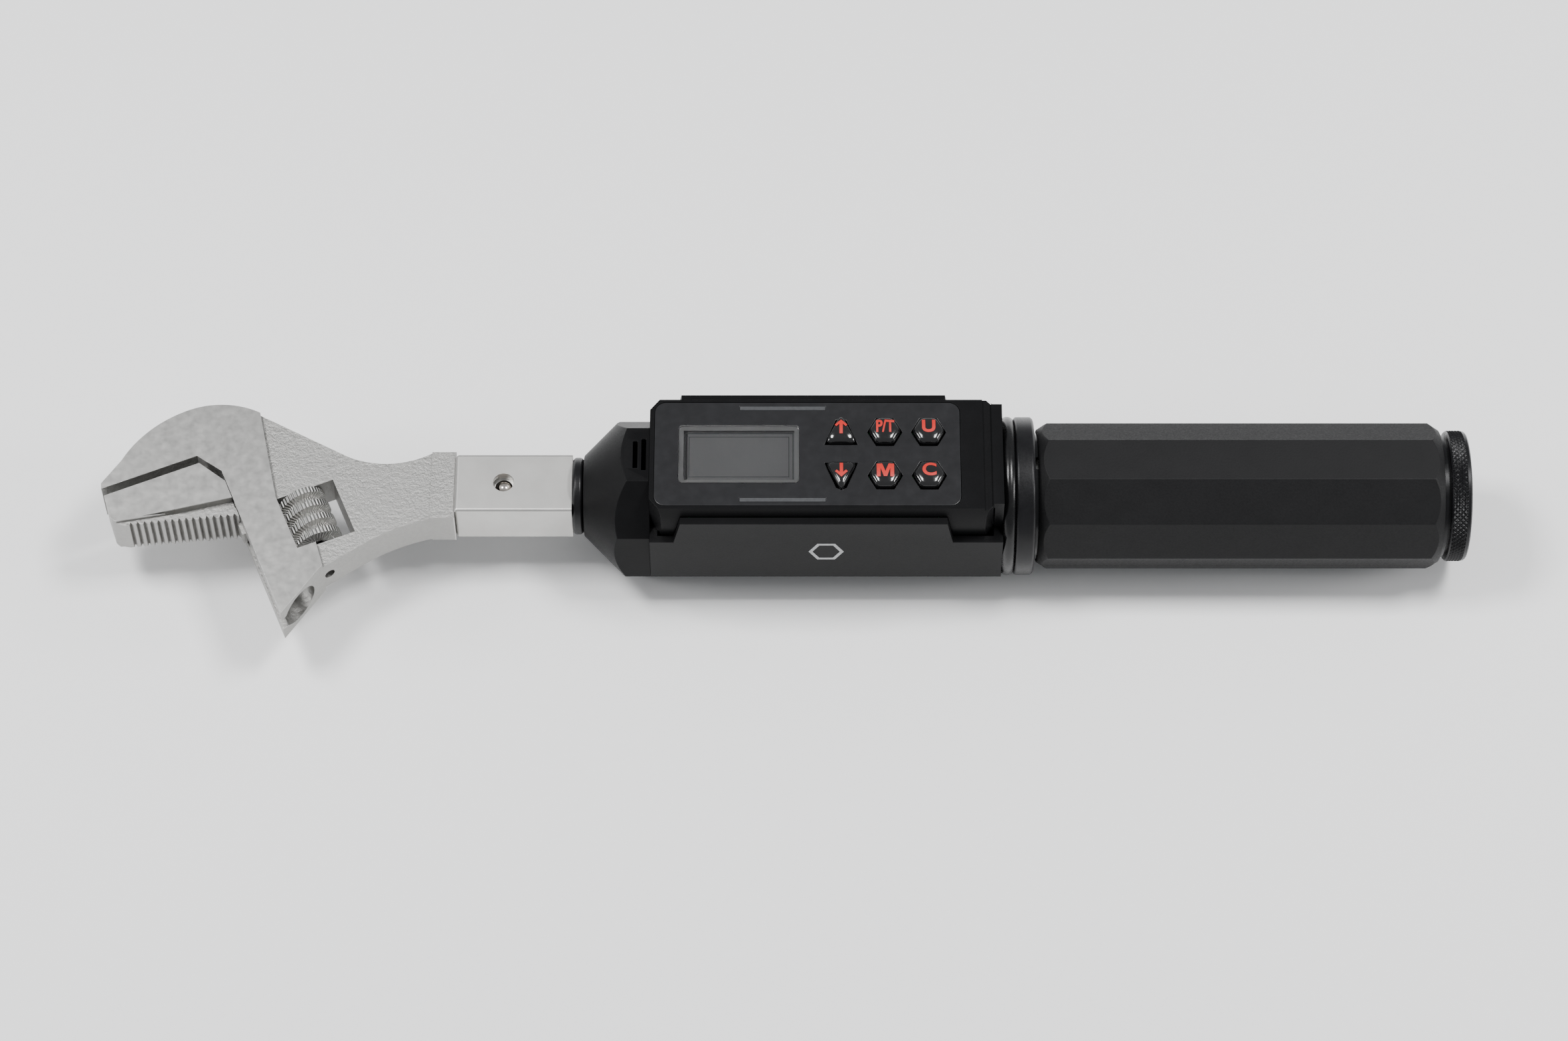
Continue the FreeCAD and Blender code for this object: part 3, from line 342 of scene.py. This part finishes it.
def badge_ink():
    """Pad-printed grey ink of the generic badge."""
    material, tree, shader, grid = new_material("Grey badge ink", linear("#A9AAAB"), 0.0, 0.45)
    mottle(tree, shader, grid, 0.6, linear("#9C9D9E"), linear("#B4B5B6"))
    return material


def gloss_rubber():
    """Smooth nitrile: black with a wide wet-looking highlight."""
    material, tree, shader, grid = new_material("Smooth nitrile rubber", linear("#0B0B0C"), 0.0,
                                                0.24, Specular_IOR_Level=0.35)
    vary_gloss(tree, shader, grid, 1.5, 0.2, 0.32)
    emboss(tree, shader, grid, 2.5, 0.01, 0.1)
    return material


def grip_rubber():
    """Moulded grip: dull, with a leathery grain drawn 0.55 mm across to show."""
    shade = chosen("rubber")
    material, tree, shader, grid = new_material("Moulded grip rubber", shade, 0.0, 0.52, IOR=1.5,
                                                Specular_IOR_Level=0.18)
    mottle(tree, shader, grid, 8, scaled(shade, 0.9), scaled(shade, 1.12))
    vary_gloss(tree, shader, grid, 0.55, 0.44, 0.6, worn=0.32, Detail=5, Roughness=0.6)
    emboss(tree, shader, grid, 0.55, 0.05, 0.6, Detail=5, Roughness=0.6)
    return material


def lens_glass():
    """Hard-coated acrylic window: clear, slightly grey, with a trace of handling haze."""
    material, tree, shader, grid = new_material("Acrylic lens", linear("#DADADA"), 0.0, 0.06,
                                                Transmission_Weight=1.0, IOR=1.49)
    vary_gloss(tree, shader, grid, 4, 0.04, 0.1)
    return material


def lcd_glass():
    """Reflective display, switched off: grey with a fine dot grid 0.45 mm apart."""
    shade = chosen("lcd")
    material, tree, shader, grid = new_material("Reflective display", shade, 0.1, 0.3)
    mottle(tree, shader, grid, 0.45, scaled(shade, 0.94), scaled(shade, 1.05),
           "ShaderNodeTexVoronoi", Randomness=0.0)
    return material


def smoked_pipe():
    """Smoked light pipes: dull grey when unlit."""
    material, tree, shader, grid = new_material("Smoked acrylic", linear("#3A3B3D"), 0.0, 0.35)
    mottle(tree, shader, grid, 1, linear("#353638"), linear("#3F4042"))
    return material


def inner_finish(name, shade, metallic, rough, grain_mm):
    """An inner piece: one tone with a fine grain."""
    material, tree, shader, grid = new_material(name, linear(shade), metallic, rough)
    mottle(tree, shader, grid, grain_mm, scaled(linear(shade), 0.88), scaled(linear(shade), 1.1))
    emboss(tree, shader, grid, grain_mm, 0.02, 0.3)
    return material


def bench_paper():
    """Seamless backdrop paper: pale, with a faint fibre of 3 mm."""
    shade = chosen("bench")
    material, tree, shader, grid = new_material("Backdrop paper", shade, 0.0, 0.75)
    mottle(tree, shader, grid, 3, scaled(shade, 0.99), shade)
    return material


FINISHES = {
    "satin_chrome": satin_chrome_blasted, "forged": satin_chrome_forged,
    "knurled_worm": knurled_worm, "polished_steel": polished_ball, "black_steel": black_oxide,
    "tool_steel": ground_steel, "black_abs": moulded_abs, "overlay_film": overlay_film,
    "lcd_lens": lens_glass, "lcd_module": lcd_glass, "light_pipe": smoked_pipe,
    "key_plastic": glossy_key, "gloss_rubber": gloss_rubber, "grip_rubber": grip_rubber,
    "legend": legend_ink, "badge": badge_ink, "bench": bench_paper,
}
# Inner finishes: common name, colour, metallic, roughness and grain in millimetres.
INNER_FINISHES = {
    "board": ("Green solder mask", "#1D5B33", 0.0, 0.35, 0.6),
    "gauge_film": ("Foil strain gauge", "#B07A2C", 0.2, 0.4, 0.4),
    "cage_plastic": ("Moulded black nylon", "#232325", 0.0, 0.5, 0.5),
    "cell_wrap": ("Shrink-wrapped cell", "#3D4A57", 0.3, 0.3, 1.5),
    "contact_brass": ("Plated brass", "#C8A24E", 1.0, 0.28, 0.4),
}
_made = {}


def finish(name):
    """The finish, made once."""
    if name not in _made:
        inner = name in INNER_FINISHES
        _made[name] = inner_finish(*INNER_FINISHES[name]) if inner else FINISHES[name]()
    return _made[name]


def slot_of(node):
    for row in frame["record"]["subparts"]:
        if row["node"] == node:
            return row["material_slot"]
    raise RuntimeError(f"{node} has no slot")


def body_of(node):
    for body, nodes in frame["record"]["behaviour"]["bodies"].items():
        if node in nodes:
            return body
    raise RuntimeError(f"{node} rides on no body")


def node_finish(node):
    """Head pieces share the receptacle's slot but keep their own skins."""
    own = {"head_body": "forged", "movable_jaw": "forged", "worm": "knurled_worm"}
    return finish(own.get(node, slot_of(node)))


# ---------------------------------------------------------------- mesh helpers
def new_piece(name, mesh, body, material):
    piece = bpy.data.objects.new(name, mesh)
    bpy.context.collection.objects.link(piece)
    piece.data.materials.clear()
    piece.data.materials.append(material)
    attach(piece, body)
    return piece


def set_smooth(mesh, degrees=SMOOTH_BELOW):
    """Smooth shading that stops at corners sharper than the angle."""
    form = bmesh.new()
    form.from_mesh(mesh)
    for face in form.faces:
        face.smooth = True
    for edge in form.edges:
        edge.smooth = len(edge.link_faces) == 2 and edge.calc_face_angle(0) < math.radians(degrees)
    form.to_mesh(mesh)
    form.free()


def settle_modifiers(piece):
    """Keep what the modifiers make and drop them."""
    bpy.context.view_layer.update()
    settled = piece.evaluated_get(bpy.context.evaluated_depsgraph_get())
    ready = bpy.data.meshes.new_from_object(settled)
    piece.modifiers.clear()
    piece.data = ready


def level_normals(piece):
    """Large faces keep their own normal, so that only the rounded corners shade as rounds."""
    levelled = piece.modifiers.new("Level normals", "WEIGHTED_NORMAL")
    levelled.mode = "FACE_AREA"
    levelled.weight = 100
    levelled.keep_sharp = True
    settle_modifiers(piece)


def softened(node, width):
    """Stand in for a CAD node with its corners rounded; no width only levels its shading."""
    mesh = bpy.data.objects[node].data.copy()
    form = bmesh.new()
    form.from_mesh(mesh)
    bmesh.ops.remove_doubles(form, verts=form.verts, dist=WELD)
    bmesh.ops.dissolve_limit(form, angle_limit=COPLANAR_WITHIN, verts=form.verts, edges=form.edges)
    form.to_mesh(mesh)
    form.free()
    piece = new_piece(node + "_finished", mesh, body_of(node), node_finish(node))
    if width:
        rounding = piece.modifiers.new("Corner round", "BEVEL")
        rounding.width = width
        rounding.segments = 2
        rounding.limit_method = "ANGLE"
        rounding.angle_limit = ROUND_ABOVE
        rounding.use_clamp_overlap = True
        settle_modifiers(piece)
    set_smooth(piece.data)
    level_normals(piece)
    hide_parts(node)


def revolve(profile, steps):
    """A mesh turned about the tool's axis from (x, radius) points; radius may be a function."""
    form = bmesh.new()
    rings = []
    for station, radius in profile:
        ring = []
        for step in range(steps):
            angle = 2 * math.pi * step / steps
            reach = radius(angle, station) if callable(radius) else radius
            ring.append(form.verts.new((station, reach * math.cos(angle), reach * math.sin(angle))))
        rings.append(ring)
    for low, high in zip(rings, rings[1:]):
        for step in range(steps):
            after = (step + 1) % steps
            form.faces.new((low[step], low[after], high[after], high[step]))
    for ring, turn in ((rings[0], -1), (rings[-1], 1)):
        form.faces.new(ring[::turn])
    bmesh.ops.recalc_face_normals(form, faces=form.faces)
    mesh = bpy.data.meshes.new("turned")
    form.to_mesh(mesh)
    form.free()
    return mesh


# ---------------------------------------------------------------- pieces
def dress_cad_nodes():
    """Give every CAD node its finish; visible hard corners are rounded."""
    for node in frame["nodes"]:
        thing = bpy.data.objects[node]
        thing.data.materials.clear()
        thing.data.materials.append(node_finish(node))
    edge = bpy.context.scene.wrench_sizes.edge
    rounded = {"upper_housing": edge, "lower_housing": edge, "nose_cone": edge,
               "grip": edge * 1.4, "head_body": edge * 0.8, "movable_jaw": edge * 0.5,
               "worm": edge * 0.5, "grip_collar": edge * 0.6, "neck_collar": edge * 0.6,
               "panel_overlay": edge * 0.5, "drive_receptacle": 0, "seal_ring": 0}
    for node, width in rounded.items():
        softened(node, width)


def rounded_polygon(corners, radius, steps=5):
    """Replace each corner with a short arc drawn as a quadratic curve."""
    points = []
    count = len(corners)
    for index, corner in enumerate(corners):
        before = (corners[index - 1] - corner).normalized() * radius
        after = (corners[(index + 1) % count] - corner).normalized() * radius
        for step in range(steps + 1):
            share = step / steps
            points.append(corner + before * (1 - share) ** 2 + after * share ** 2)
    return points


# Keys and legends: sizes in metres, then shares of a key's half length.
INK_ROOM = 0.05 * MM
INK_PROUD = 0.03 * MM
KEY_HALF = 4.7 * MM
KEY_FLANGE = 0.7 * MM
KEY_FIT = 0.985
SKIRT_ABOVE = 1 * MM
ARROW_KEY_ROUND = 2.1 * MM
HEX_KEY_ROUND = 1.2 * MM
# A key's flank and crown: share of its outline, and millimetres below the crown.
KEY_PROFILE = [(1.0, 1.1), (0.99, 0.85), (0.97, 0.62), (0.935, 0.4), (0.885, 0.2), (0.82, 0.07),
               (0.74, 0.0), (0.6, 0.0), (0.45, 0.0), (0.3, 0.0), (0.12, 0.0)]
LEGEND_RAISE = 0.12
LETTER_WEIGHT = 0.03
LETTER_SCALE = (1.25, 1.22)
WORD_SCALE = (0.8, 1.2)
ARROW_KEYS = ("up", "down")
# An arrow key's base and point from its centre, as shares of its half length.
ARROW_BASE, ARROW_POINT = 0.88, 1.22
# How far an arrow key's centre lies from its base, as a share of its flange's half length.
ARROW_SEAT = 0.85
HEX_STRETCH = 1.06
# The side of the panel's middle that each key lies on.
KEY_SIDES = {"up": 1, "peak": 1, "unit": 1, "down": -1, "memory": -1, "clear": -1}
LEGENDS = {"peak": "P/T", "unit": "U", "clear": "C"}
ARROW = [(-0.1, -0.5), (0.1, -0.5), (0.1, 0.18), (0.28, 0.0), (0.38, 0.12), (0, 0.5), (-0.38, 0.12),
         (-0.28, 0.0), (-0.1, 0.18)]
LETTER_M = [(-0.52, -0.46), (-0.29, -0.46), (-0.29, 0.12), (-0.1, -0.46), (0.1, -0.46),
            (0.29, 0.12), (0.29, -0.46), (0.52, -0.46), (0.52, 0.46), (0.2, 0.46), (0, -0.12),
            (-0.2, 0.46), (-0.52, 0.46)]


def key_corners(key, half):
    """A triangle for an arrow key, a hexagon for the others."""
    side = KEY_SIDES[key]
    if key in ARROW_KEYS:
        base = -ARROW_BASE * side * half
        return [Vector((-half, base)), Vector((half, base)), Vector((0, ARROW_POINT * side * half))]
    return [Vector((half * math.cos(math.radians(60 * turn)),
                    half * math.sin(math.radians(60 * turn)) * HEX_STRETCH)) for turn in range(6)]


def key_place(key):
    """Centre of a key's cap, and the heights of its top and its flange."""
    low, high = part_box("button_" + key)
    x = (low[0] + high[0]) / 2
    y = (low[1] + high[1]) / 2
    side = KEY_SIDES[key]
    if key in ARROW_KEYS:
        y = (low[1] if side > 0 else high[1]) + side * ARROW_SEAT * (KEY_HALF + KEY_FLANGE)
    return x, y, high[2] - INK_ROOM, low[2]


def dome_drop(offset):
    """How far the crown falls below its top at an offset from the key's centre."""
    dome = bpy.context.scene.wrench_sizes.key_dome
    return dome * min(1.0, (offset.length / KEY_HALF) ** 2)


def make_key(key):
    """A glossy crowned cap whose skirt runs down through the panel."""
    x, y, top, flange = key_place(key)
    rounding = ARROW_KEY_ROUND if key in ARROW_KEYS else HEX_KEY_ROUND
    corners = rounded_polygon(key_corners(key, KEY_HALF * KEY_FIT), rounding)
    form = bmesh.new()
    rings = []
    for share, lip in [(1.0, None), *KEY_PROFILE]:
        ring = []
        for point in corners:
            offset = point * share
            z = flange + SKIRT_ABOVE if lip is None else top - lip * MM - dome_drop(offset)
            ring.append(form.verts.new((x + offset.x, y + offset.y, z)))
        rings.append(ring)
    for outer, inner in zip(rings, rings[1:]):
        for index in range(len(corners)):
            after = (index + 1) % len(corners)
            form.faces.new((outer[index], outer[after], inner[after], inner[index]))
    form.faces.new(rings[-1])
    form.faces.new(rings[0][::-1])
    bmesh.ops.recalc_face_normals(form, faces=form.faces)
    mesh = bpy.data.meshes.new("key_" + key)
    form.to_mesh(mesh)
    form.free()
    set_smooth(mesh, KEY_SMOOTH_BELOW)
    piece = new_piece("key_cap_" + key, mesh, "key_" + key, finish("key_plastic"))
    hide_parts("button_" + key)
    make_legend(key, x, y, top)


def legend_mesh(key):
    """Flat outline of a legend about its own centre: an arrow, or letters."""
    if key in LEGENDS:
        curve = bpy.data.curves.new("legend_" + key, "FONT")
        curve.body = LEGENDS[key]
        curve.align_x = "CENTER"
        curve.align_y = "CENTER"
        curve.size = 1.0
        curve.offset = LETTER_WEIGHT
        holder = bpy.data.objects.new("legend_holder", curve)
        mesh = bpy.data.meshes.new_from_object(holder)
        bpy.data.objects.remove(holder)
        wide, tall = WORD_SCALE if len(LEGENDS[key]) > 1 else LETTER_SCALE
        for vert in mesh.vertices:
            vert.co.x *= wide * KEY_HALF
            vert.co.y *= tall * KEY_HALF
        return mesh
    side = KEY_SIDES[key] if key in ARROW_KEYS else 1
    outline = ARROW if key in ARROW_KEYS else LETTER_M
    mesh = bpy.data.meshes.new("legend_" + key)
    mesh.from_pydata([(a * KEY_HALF, b * KEY_HALF * side, 0) for a, b in outline], [],
                     [list(range(len(outline)))[::side]])
    return mesh


def make_legend(key, x, y, top):
    """Ink that follows the crown of its key, just proud of it."""
    mesh = legend_mesh(key)
    form = bmesh.new()
    form.from_mesh(mesh)
    bmesh.ops.triangulate(form, faces=form.faces)
    bmesh.ops.subdivide_edges(form, edges=form.edges, cuts=3, use_grid_fill=True)
    for vert in form.verts:
        offset = Vector((vert.co.x, vert.co.y))
        offset.y += LEGEND_RAISE * KEY_HALF
        vert.co = (x + offset.x, y + offset.y, top + INK_PROUD - dome_drop(offset))
    form.to_mesh(mesh)
    form.free()
    new_piece("legend_" + key, mesh, "key_" + key, finish("legend"))


CAP_FACE = 283 * MM
SPIGOT_RADIUS = 16.45 * MM
KNURL_STEPS = 6
# The knurled band, in millimetres from the cap's face: its start, the ring spacing, the rings.
BAND_START, BAND_STEP, BAND_RINGS = 0.55, 0.14, 28
CREST_INSET = 0.05 * MM


def make_cap():
    """Battery cap: diamond-knurled rim between smooth edges, then a shallow dished end."""
    sizes = bpy.context.scene.wrench_sizes
    low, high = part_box("battery_cap")
    radius = high[1]
    starts = round(2 * math.pi * radius / sizes.knurl_pitch)
    lead = 2 * math.pi * radius / starts

    def knurl(angle, station):
        along = 2 * math.pi * (station - CAP_FACE) / lead
        crest = min(abs(math.sin((starts * angle + turn * along) / 2)) for turn in (1, -1))
        return radius - CREST_INSET - sizes.knurl_depth * (1 - crest)

    band = [(CAP_FACE + (BAND_START + BAND_STEP * index) * MM, knurl)
            for index in range(BAND_RINGS)]
    profile = [(low[0], SPIGOT_RADIUS - 0.4 * MM), (low[0] + 0.4 * MM, SPIGOT_RADIUS),
               (CAP_FACE, SPIGOT_RADIUS), (CAP_FACE, radius - 0.5 * MM),
               (CAP_FACE + 0.4 * MM, radius - 0.15 * MM)]
    profile += band
    profile += [(band[-1][0] + 0.2 * MM, radius - 0.2 * MM),
                (high[0] - 0.5 * MM, radius - 0.35 * MM), (high[0] - 0.15 * MM, radius - 0.7 * MM),
                (high[0], radius - 1.3 * MM), (high[0], radius - 4 * MM),
                (high[0] - 0.5 * MM, radius - 4.6 * MM), (high[0] - 0.5 * MM, 0.5 * MM)]
    mesh = revolve(profile, starts * KNURL_STEPS)
    set_smooth(mesh, CAP_SMOOTH_BELOW)
    piece = new_piece("battery_cap_knurled", mesh, "cap", finish("black_steel"))
    level_normals(piece)
    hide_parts("battery_cap")


def frame_strip(form, left, right, half, z, width):
    """A flat rectangular frame of the given line width."""
    outer = [form.verts.new(place) for place in (
        (left, -half, z), (right, -half, z), (right, half, z), (left, half, z))]
    inner = [form.verts.new(place) for place in (
        (left + width, -half + width, z), (right - width, -half + width, z),
        (right - width, half - width, z), (left + width, half - width, z))]
    for index in range(4):
        after = (index + 1) % 4
        form.faces.new((outer[index], outer[after], inner[after], inner[index]))


# Inset from the window's rim and line width of each flat border, in millimetres.
DISPLAY_RIM = ((0, 1.4),)
DISPLAY_BORDERS = ((1.6, 0.3), (2.8, 0.25))
RIM_IN_LENS = 0.04 * MM
BORDER_ABOVE_GLASS = 0.06 * MM


def make_display_frame():
    """Display glass out to the window's rim, with two faint printed borders, behind the lens."""
    module_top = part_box("lcd_module")[1][2]
    lens_low, lens_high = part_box("lcd_window")
    strips = {"display_rim": ("lcd_module", lens_low[2] + RIM_IN_LENS, DISPLAY_RIM),
              "display_frame": ("light_pipe", module_top + BORDER_ABOVE_GLASS, DISPLAY_BORDERS)}
    for name, (look, level, borders) in strips.items():
        form = bmesh.new()
        for inset, width in borders:
            frame_strip(form, lens_low[0] + inset * MM, lens_high[0] - inset * MM,
                        lens_high[1] - inset * MM, level, width * MM)
        mesh = bpy.data.meshes.new(name)
        form.to_mesh(mesh)
        form.free()
        new_piece(name, mesh, "wrench", finish(look))


BADGE_RADII = (5, 3.9)
BADGE_HEIGHT = 5 * MM
BADGE_PROUD = 0.02 * MM


def make_badge():
    """Generic hexagon-nut badge printed on the lower shell's front side."""
    low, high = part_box("lower_housing")
    wall = low[1] - BADGE_PROUD
    form = bmesh.new()
    centre = ((low[0] + high[0]) / 2, BADGE_HEIGHT)
    ring_outer, ring_inner = [], []
    for turn in range(6):
        angle = math.radians(60 * turn)
        for radius, ring in zip(BADGE_RADII, (ring_outer, ring_inner)):
            ring.append(form.verts.new((centre[0] + radius * MM * math.cos(angle), wall,
                                        centre[1] + radius * MM * math.sin(angle))))
    for index in range(6):
        after = (index + 1) % 6
        form.faces.new((ring_outer[index], ring_outer[after], ring_inner[after], ring_inner[index]))
    mesh = bpy.data.meshes.new("badge")
    form.to_mesh(mesh)
    form.free()
    new_piece("hex_badge", mesh, "wrench", finish("badge"))


# ---------------------------------------------------------------- stage
FLOOR_REACH = 3
SENSOR_WIDTH = 36
SKY_STRENGTH = 0.5
# Each light's place, width and depth in metres, and its watts.
LIGHTS = {
    "strip left": ((-1.05, -0.1, 0.45), 0.3, 0.3, 5),
    "strip right": ((1.2, -0.1, 0.45), 0.3, 0.3, 5),
    "overhead left": ((-0.5, 0.1, 1.2), 0.4, 0.3, 15),
    "overhead right": ((0.68, 0.1, 1.2), 0.4, 0.3, 15),
}


def add_light(name, target):
    """A rectangular softbox turned towards the target."""
    place, width, depth, watts = LIGHTS[name]
    data = bpy.data.lights.new(name, "AREA")
    data.shape = "RECTANGLE"
    data.size = width
    data.size_y = depth
    data.energy = watts
    light = bpy.data.objects.new(name, data)
    bpy.context.collection.objects.link(light)
    light.location = place
    light.rotation_euler = (Vector(target) - Vector(place)).to_track_quat("-Z", "Y").to_euler()


def make_stage():
    """Pale floor, a low strip light at each end, two overhead softboxes, and the camera."""
    sizes = bpy.context.scene.wrench_sizes
    low, high = CAD_BOX
    centre = Vector(((low[0] + high[0]) / 2, (low[1] + high[1]) / 2, 0))
    mesh = bpy.data.meshes.new("floor")
    corners = [(x * FLOOR_REACH, y * FLOOR_REACH, low[2])
               for x, y in ((-1, -1), (1, -1), (1, 1), (-1, 1))]
    mesh.from_pydata(corners, [], [(0, 1, 2, 3)])
    floor = bpy.data.objects.new("floor", mesh)
    bpy.context.collection.objects.link(floor)
    floor.data.materials.append(finish("bench"))
    for name in LIGHTS:
        add_light(name, centre)
    world = bpy.data.worlds.new("studio")
    bpy.context.scene.world = world
    world.use_nodes = True
    world.node_tree.nodes["Background"].inputs["Color"].default_value = linear("#F2F4F7")
    world.node_tree.nodes["Background"].inputs["Strength"].default_value = SKY_STRENGTH
    data = bpy.data.cameras.new("camera")
    camera = bpy.data.objects.new("camera", data)
    bpy.context.collection.objects.link(camera)
    tilt = sizes.camera_elevation
    away = Vector((0, -math.cos(tilt), math.sin(tilt)))
    camera.location = centre + away * sizes.camera_distance
    camera.rotation_euler = (-away).to_track_quat("-Z", "Y").to_euler()
    data.sensor_width = SENSOR_WIDTH
    data.lens = SENSOR_WIDTH * sizes.camera_distance * sizes.fill / (high[0] - low[0])
    bpy.context.scene.camera = camera


# ---------------------------------------------------------------- operators and panel
class WRENCH_OT_dress_nodes(bpy.types.Operator):
    """Finish every CAD node and round its corners"""
    bl_idname = "wrench.dress_nodes"
    bl_label = "Dress nodes"

    def execute(self, context):
        dress_cad_nodes()
        return {"FINISHED"}


class WRENCH_OT_make_keys(bpy.types.Operator):
    """Build the crowned keys and their legends"""
    bl_idname = "wrench.make_keys"
    bl_label = "Make keys"

    def execute(self, context):
        for key in KEY_SIDES:
            make_key(key)
        return {"FINISHED"}


class WRENCH_OT_make_cap(bpy.types.Operator):
    """Build the knurled battery cap"""
    bl_idname = "wrench.make_cap"
    bl_label = "Make cap"

    def execute(self, context):
        make_cap()
        return {"FINISHED"}


class WRENCH_OT_make_display(bpy.types.Operator):
    """Print the borders of the display"""
    bl_idname = "wrench.make_display"
    bl_label = "Make display"

    def execute(self, context):
        make_display_frame()
        return {"FINISHED"}


class WRENCH_OT_make_badge(bpy.types.Operator):
    """Print the generic hexagon badge"""
    bl_idname = "wrench.make_badge"
    bl_label = "Make badge"

    def execute(self, context):
        make_badge()
        return {"FINISHED"}


class WRENCH_OT_make_stage(bpy.types.Operator):
    """Add floor, lights and camera"""
    bl_idname = "wrench.make_stage"
    bl_label = "Make stage"

    def execute(self, context):
        make_stage()
        return {"FINISHED"}


OPERATORS = [
    WRENCH_OT_dress_nodes, WRENCH_OT_make_keys, WRENCH_OT_make_cap,
    WRENCH_OT_make_display, WRENCH_OT_make_badge, WRENCH_OT_make_stage,
]


class WRENCH_PT_panel(bpy.types.Panel):
    """Lists the makers in the sidebar."""
    bl_label = "Torque wrench"
    bl_space_type = "VIEW_3D"
    bl_region_type = "UI"
    bl_category = "Wrench"

    def draw(self, context):
        for maker in OPERATORS:
            self.layout.operator(maker.bl_idname)


CLASSES = [WrenchSizes, WrenchColours, *OPERATORS, WRENCH_PT_panel]


def register():
    for item in CLASSES:
        bpy.utils.register_class(item)
    bpy.types.Scene.wrench_sizes = PointerProperty(type=WrenchSizes)
    bpy.types.Scene.wrench_colours = PointerProperty(type=WrenchColours)


def unregister():
    del bpy.types.Scene.wrench_colours
    del bpy.types.Scene.wrench_sizes
    for item in reversed(CLASSES):
        bpy.utils.unregister_class(item)


def main():
    register()
    for maker in OPERATORS:
        group, call = maker.bl_idname.split(".")
        getattr(getattr(bpy.ops, group), call)()


if __name__ == "__main__":
    main()
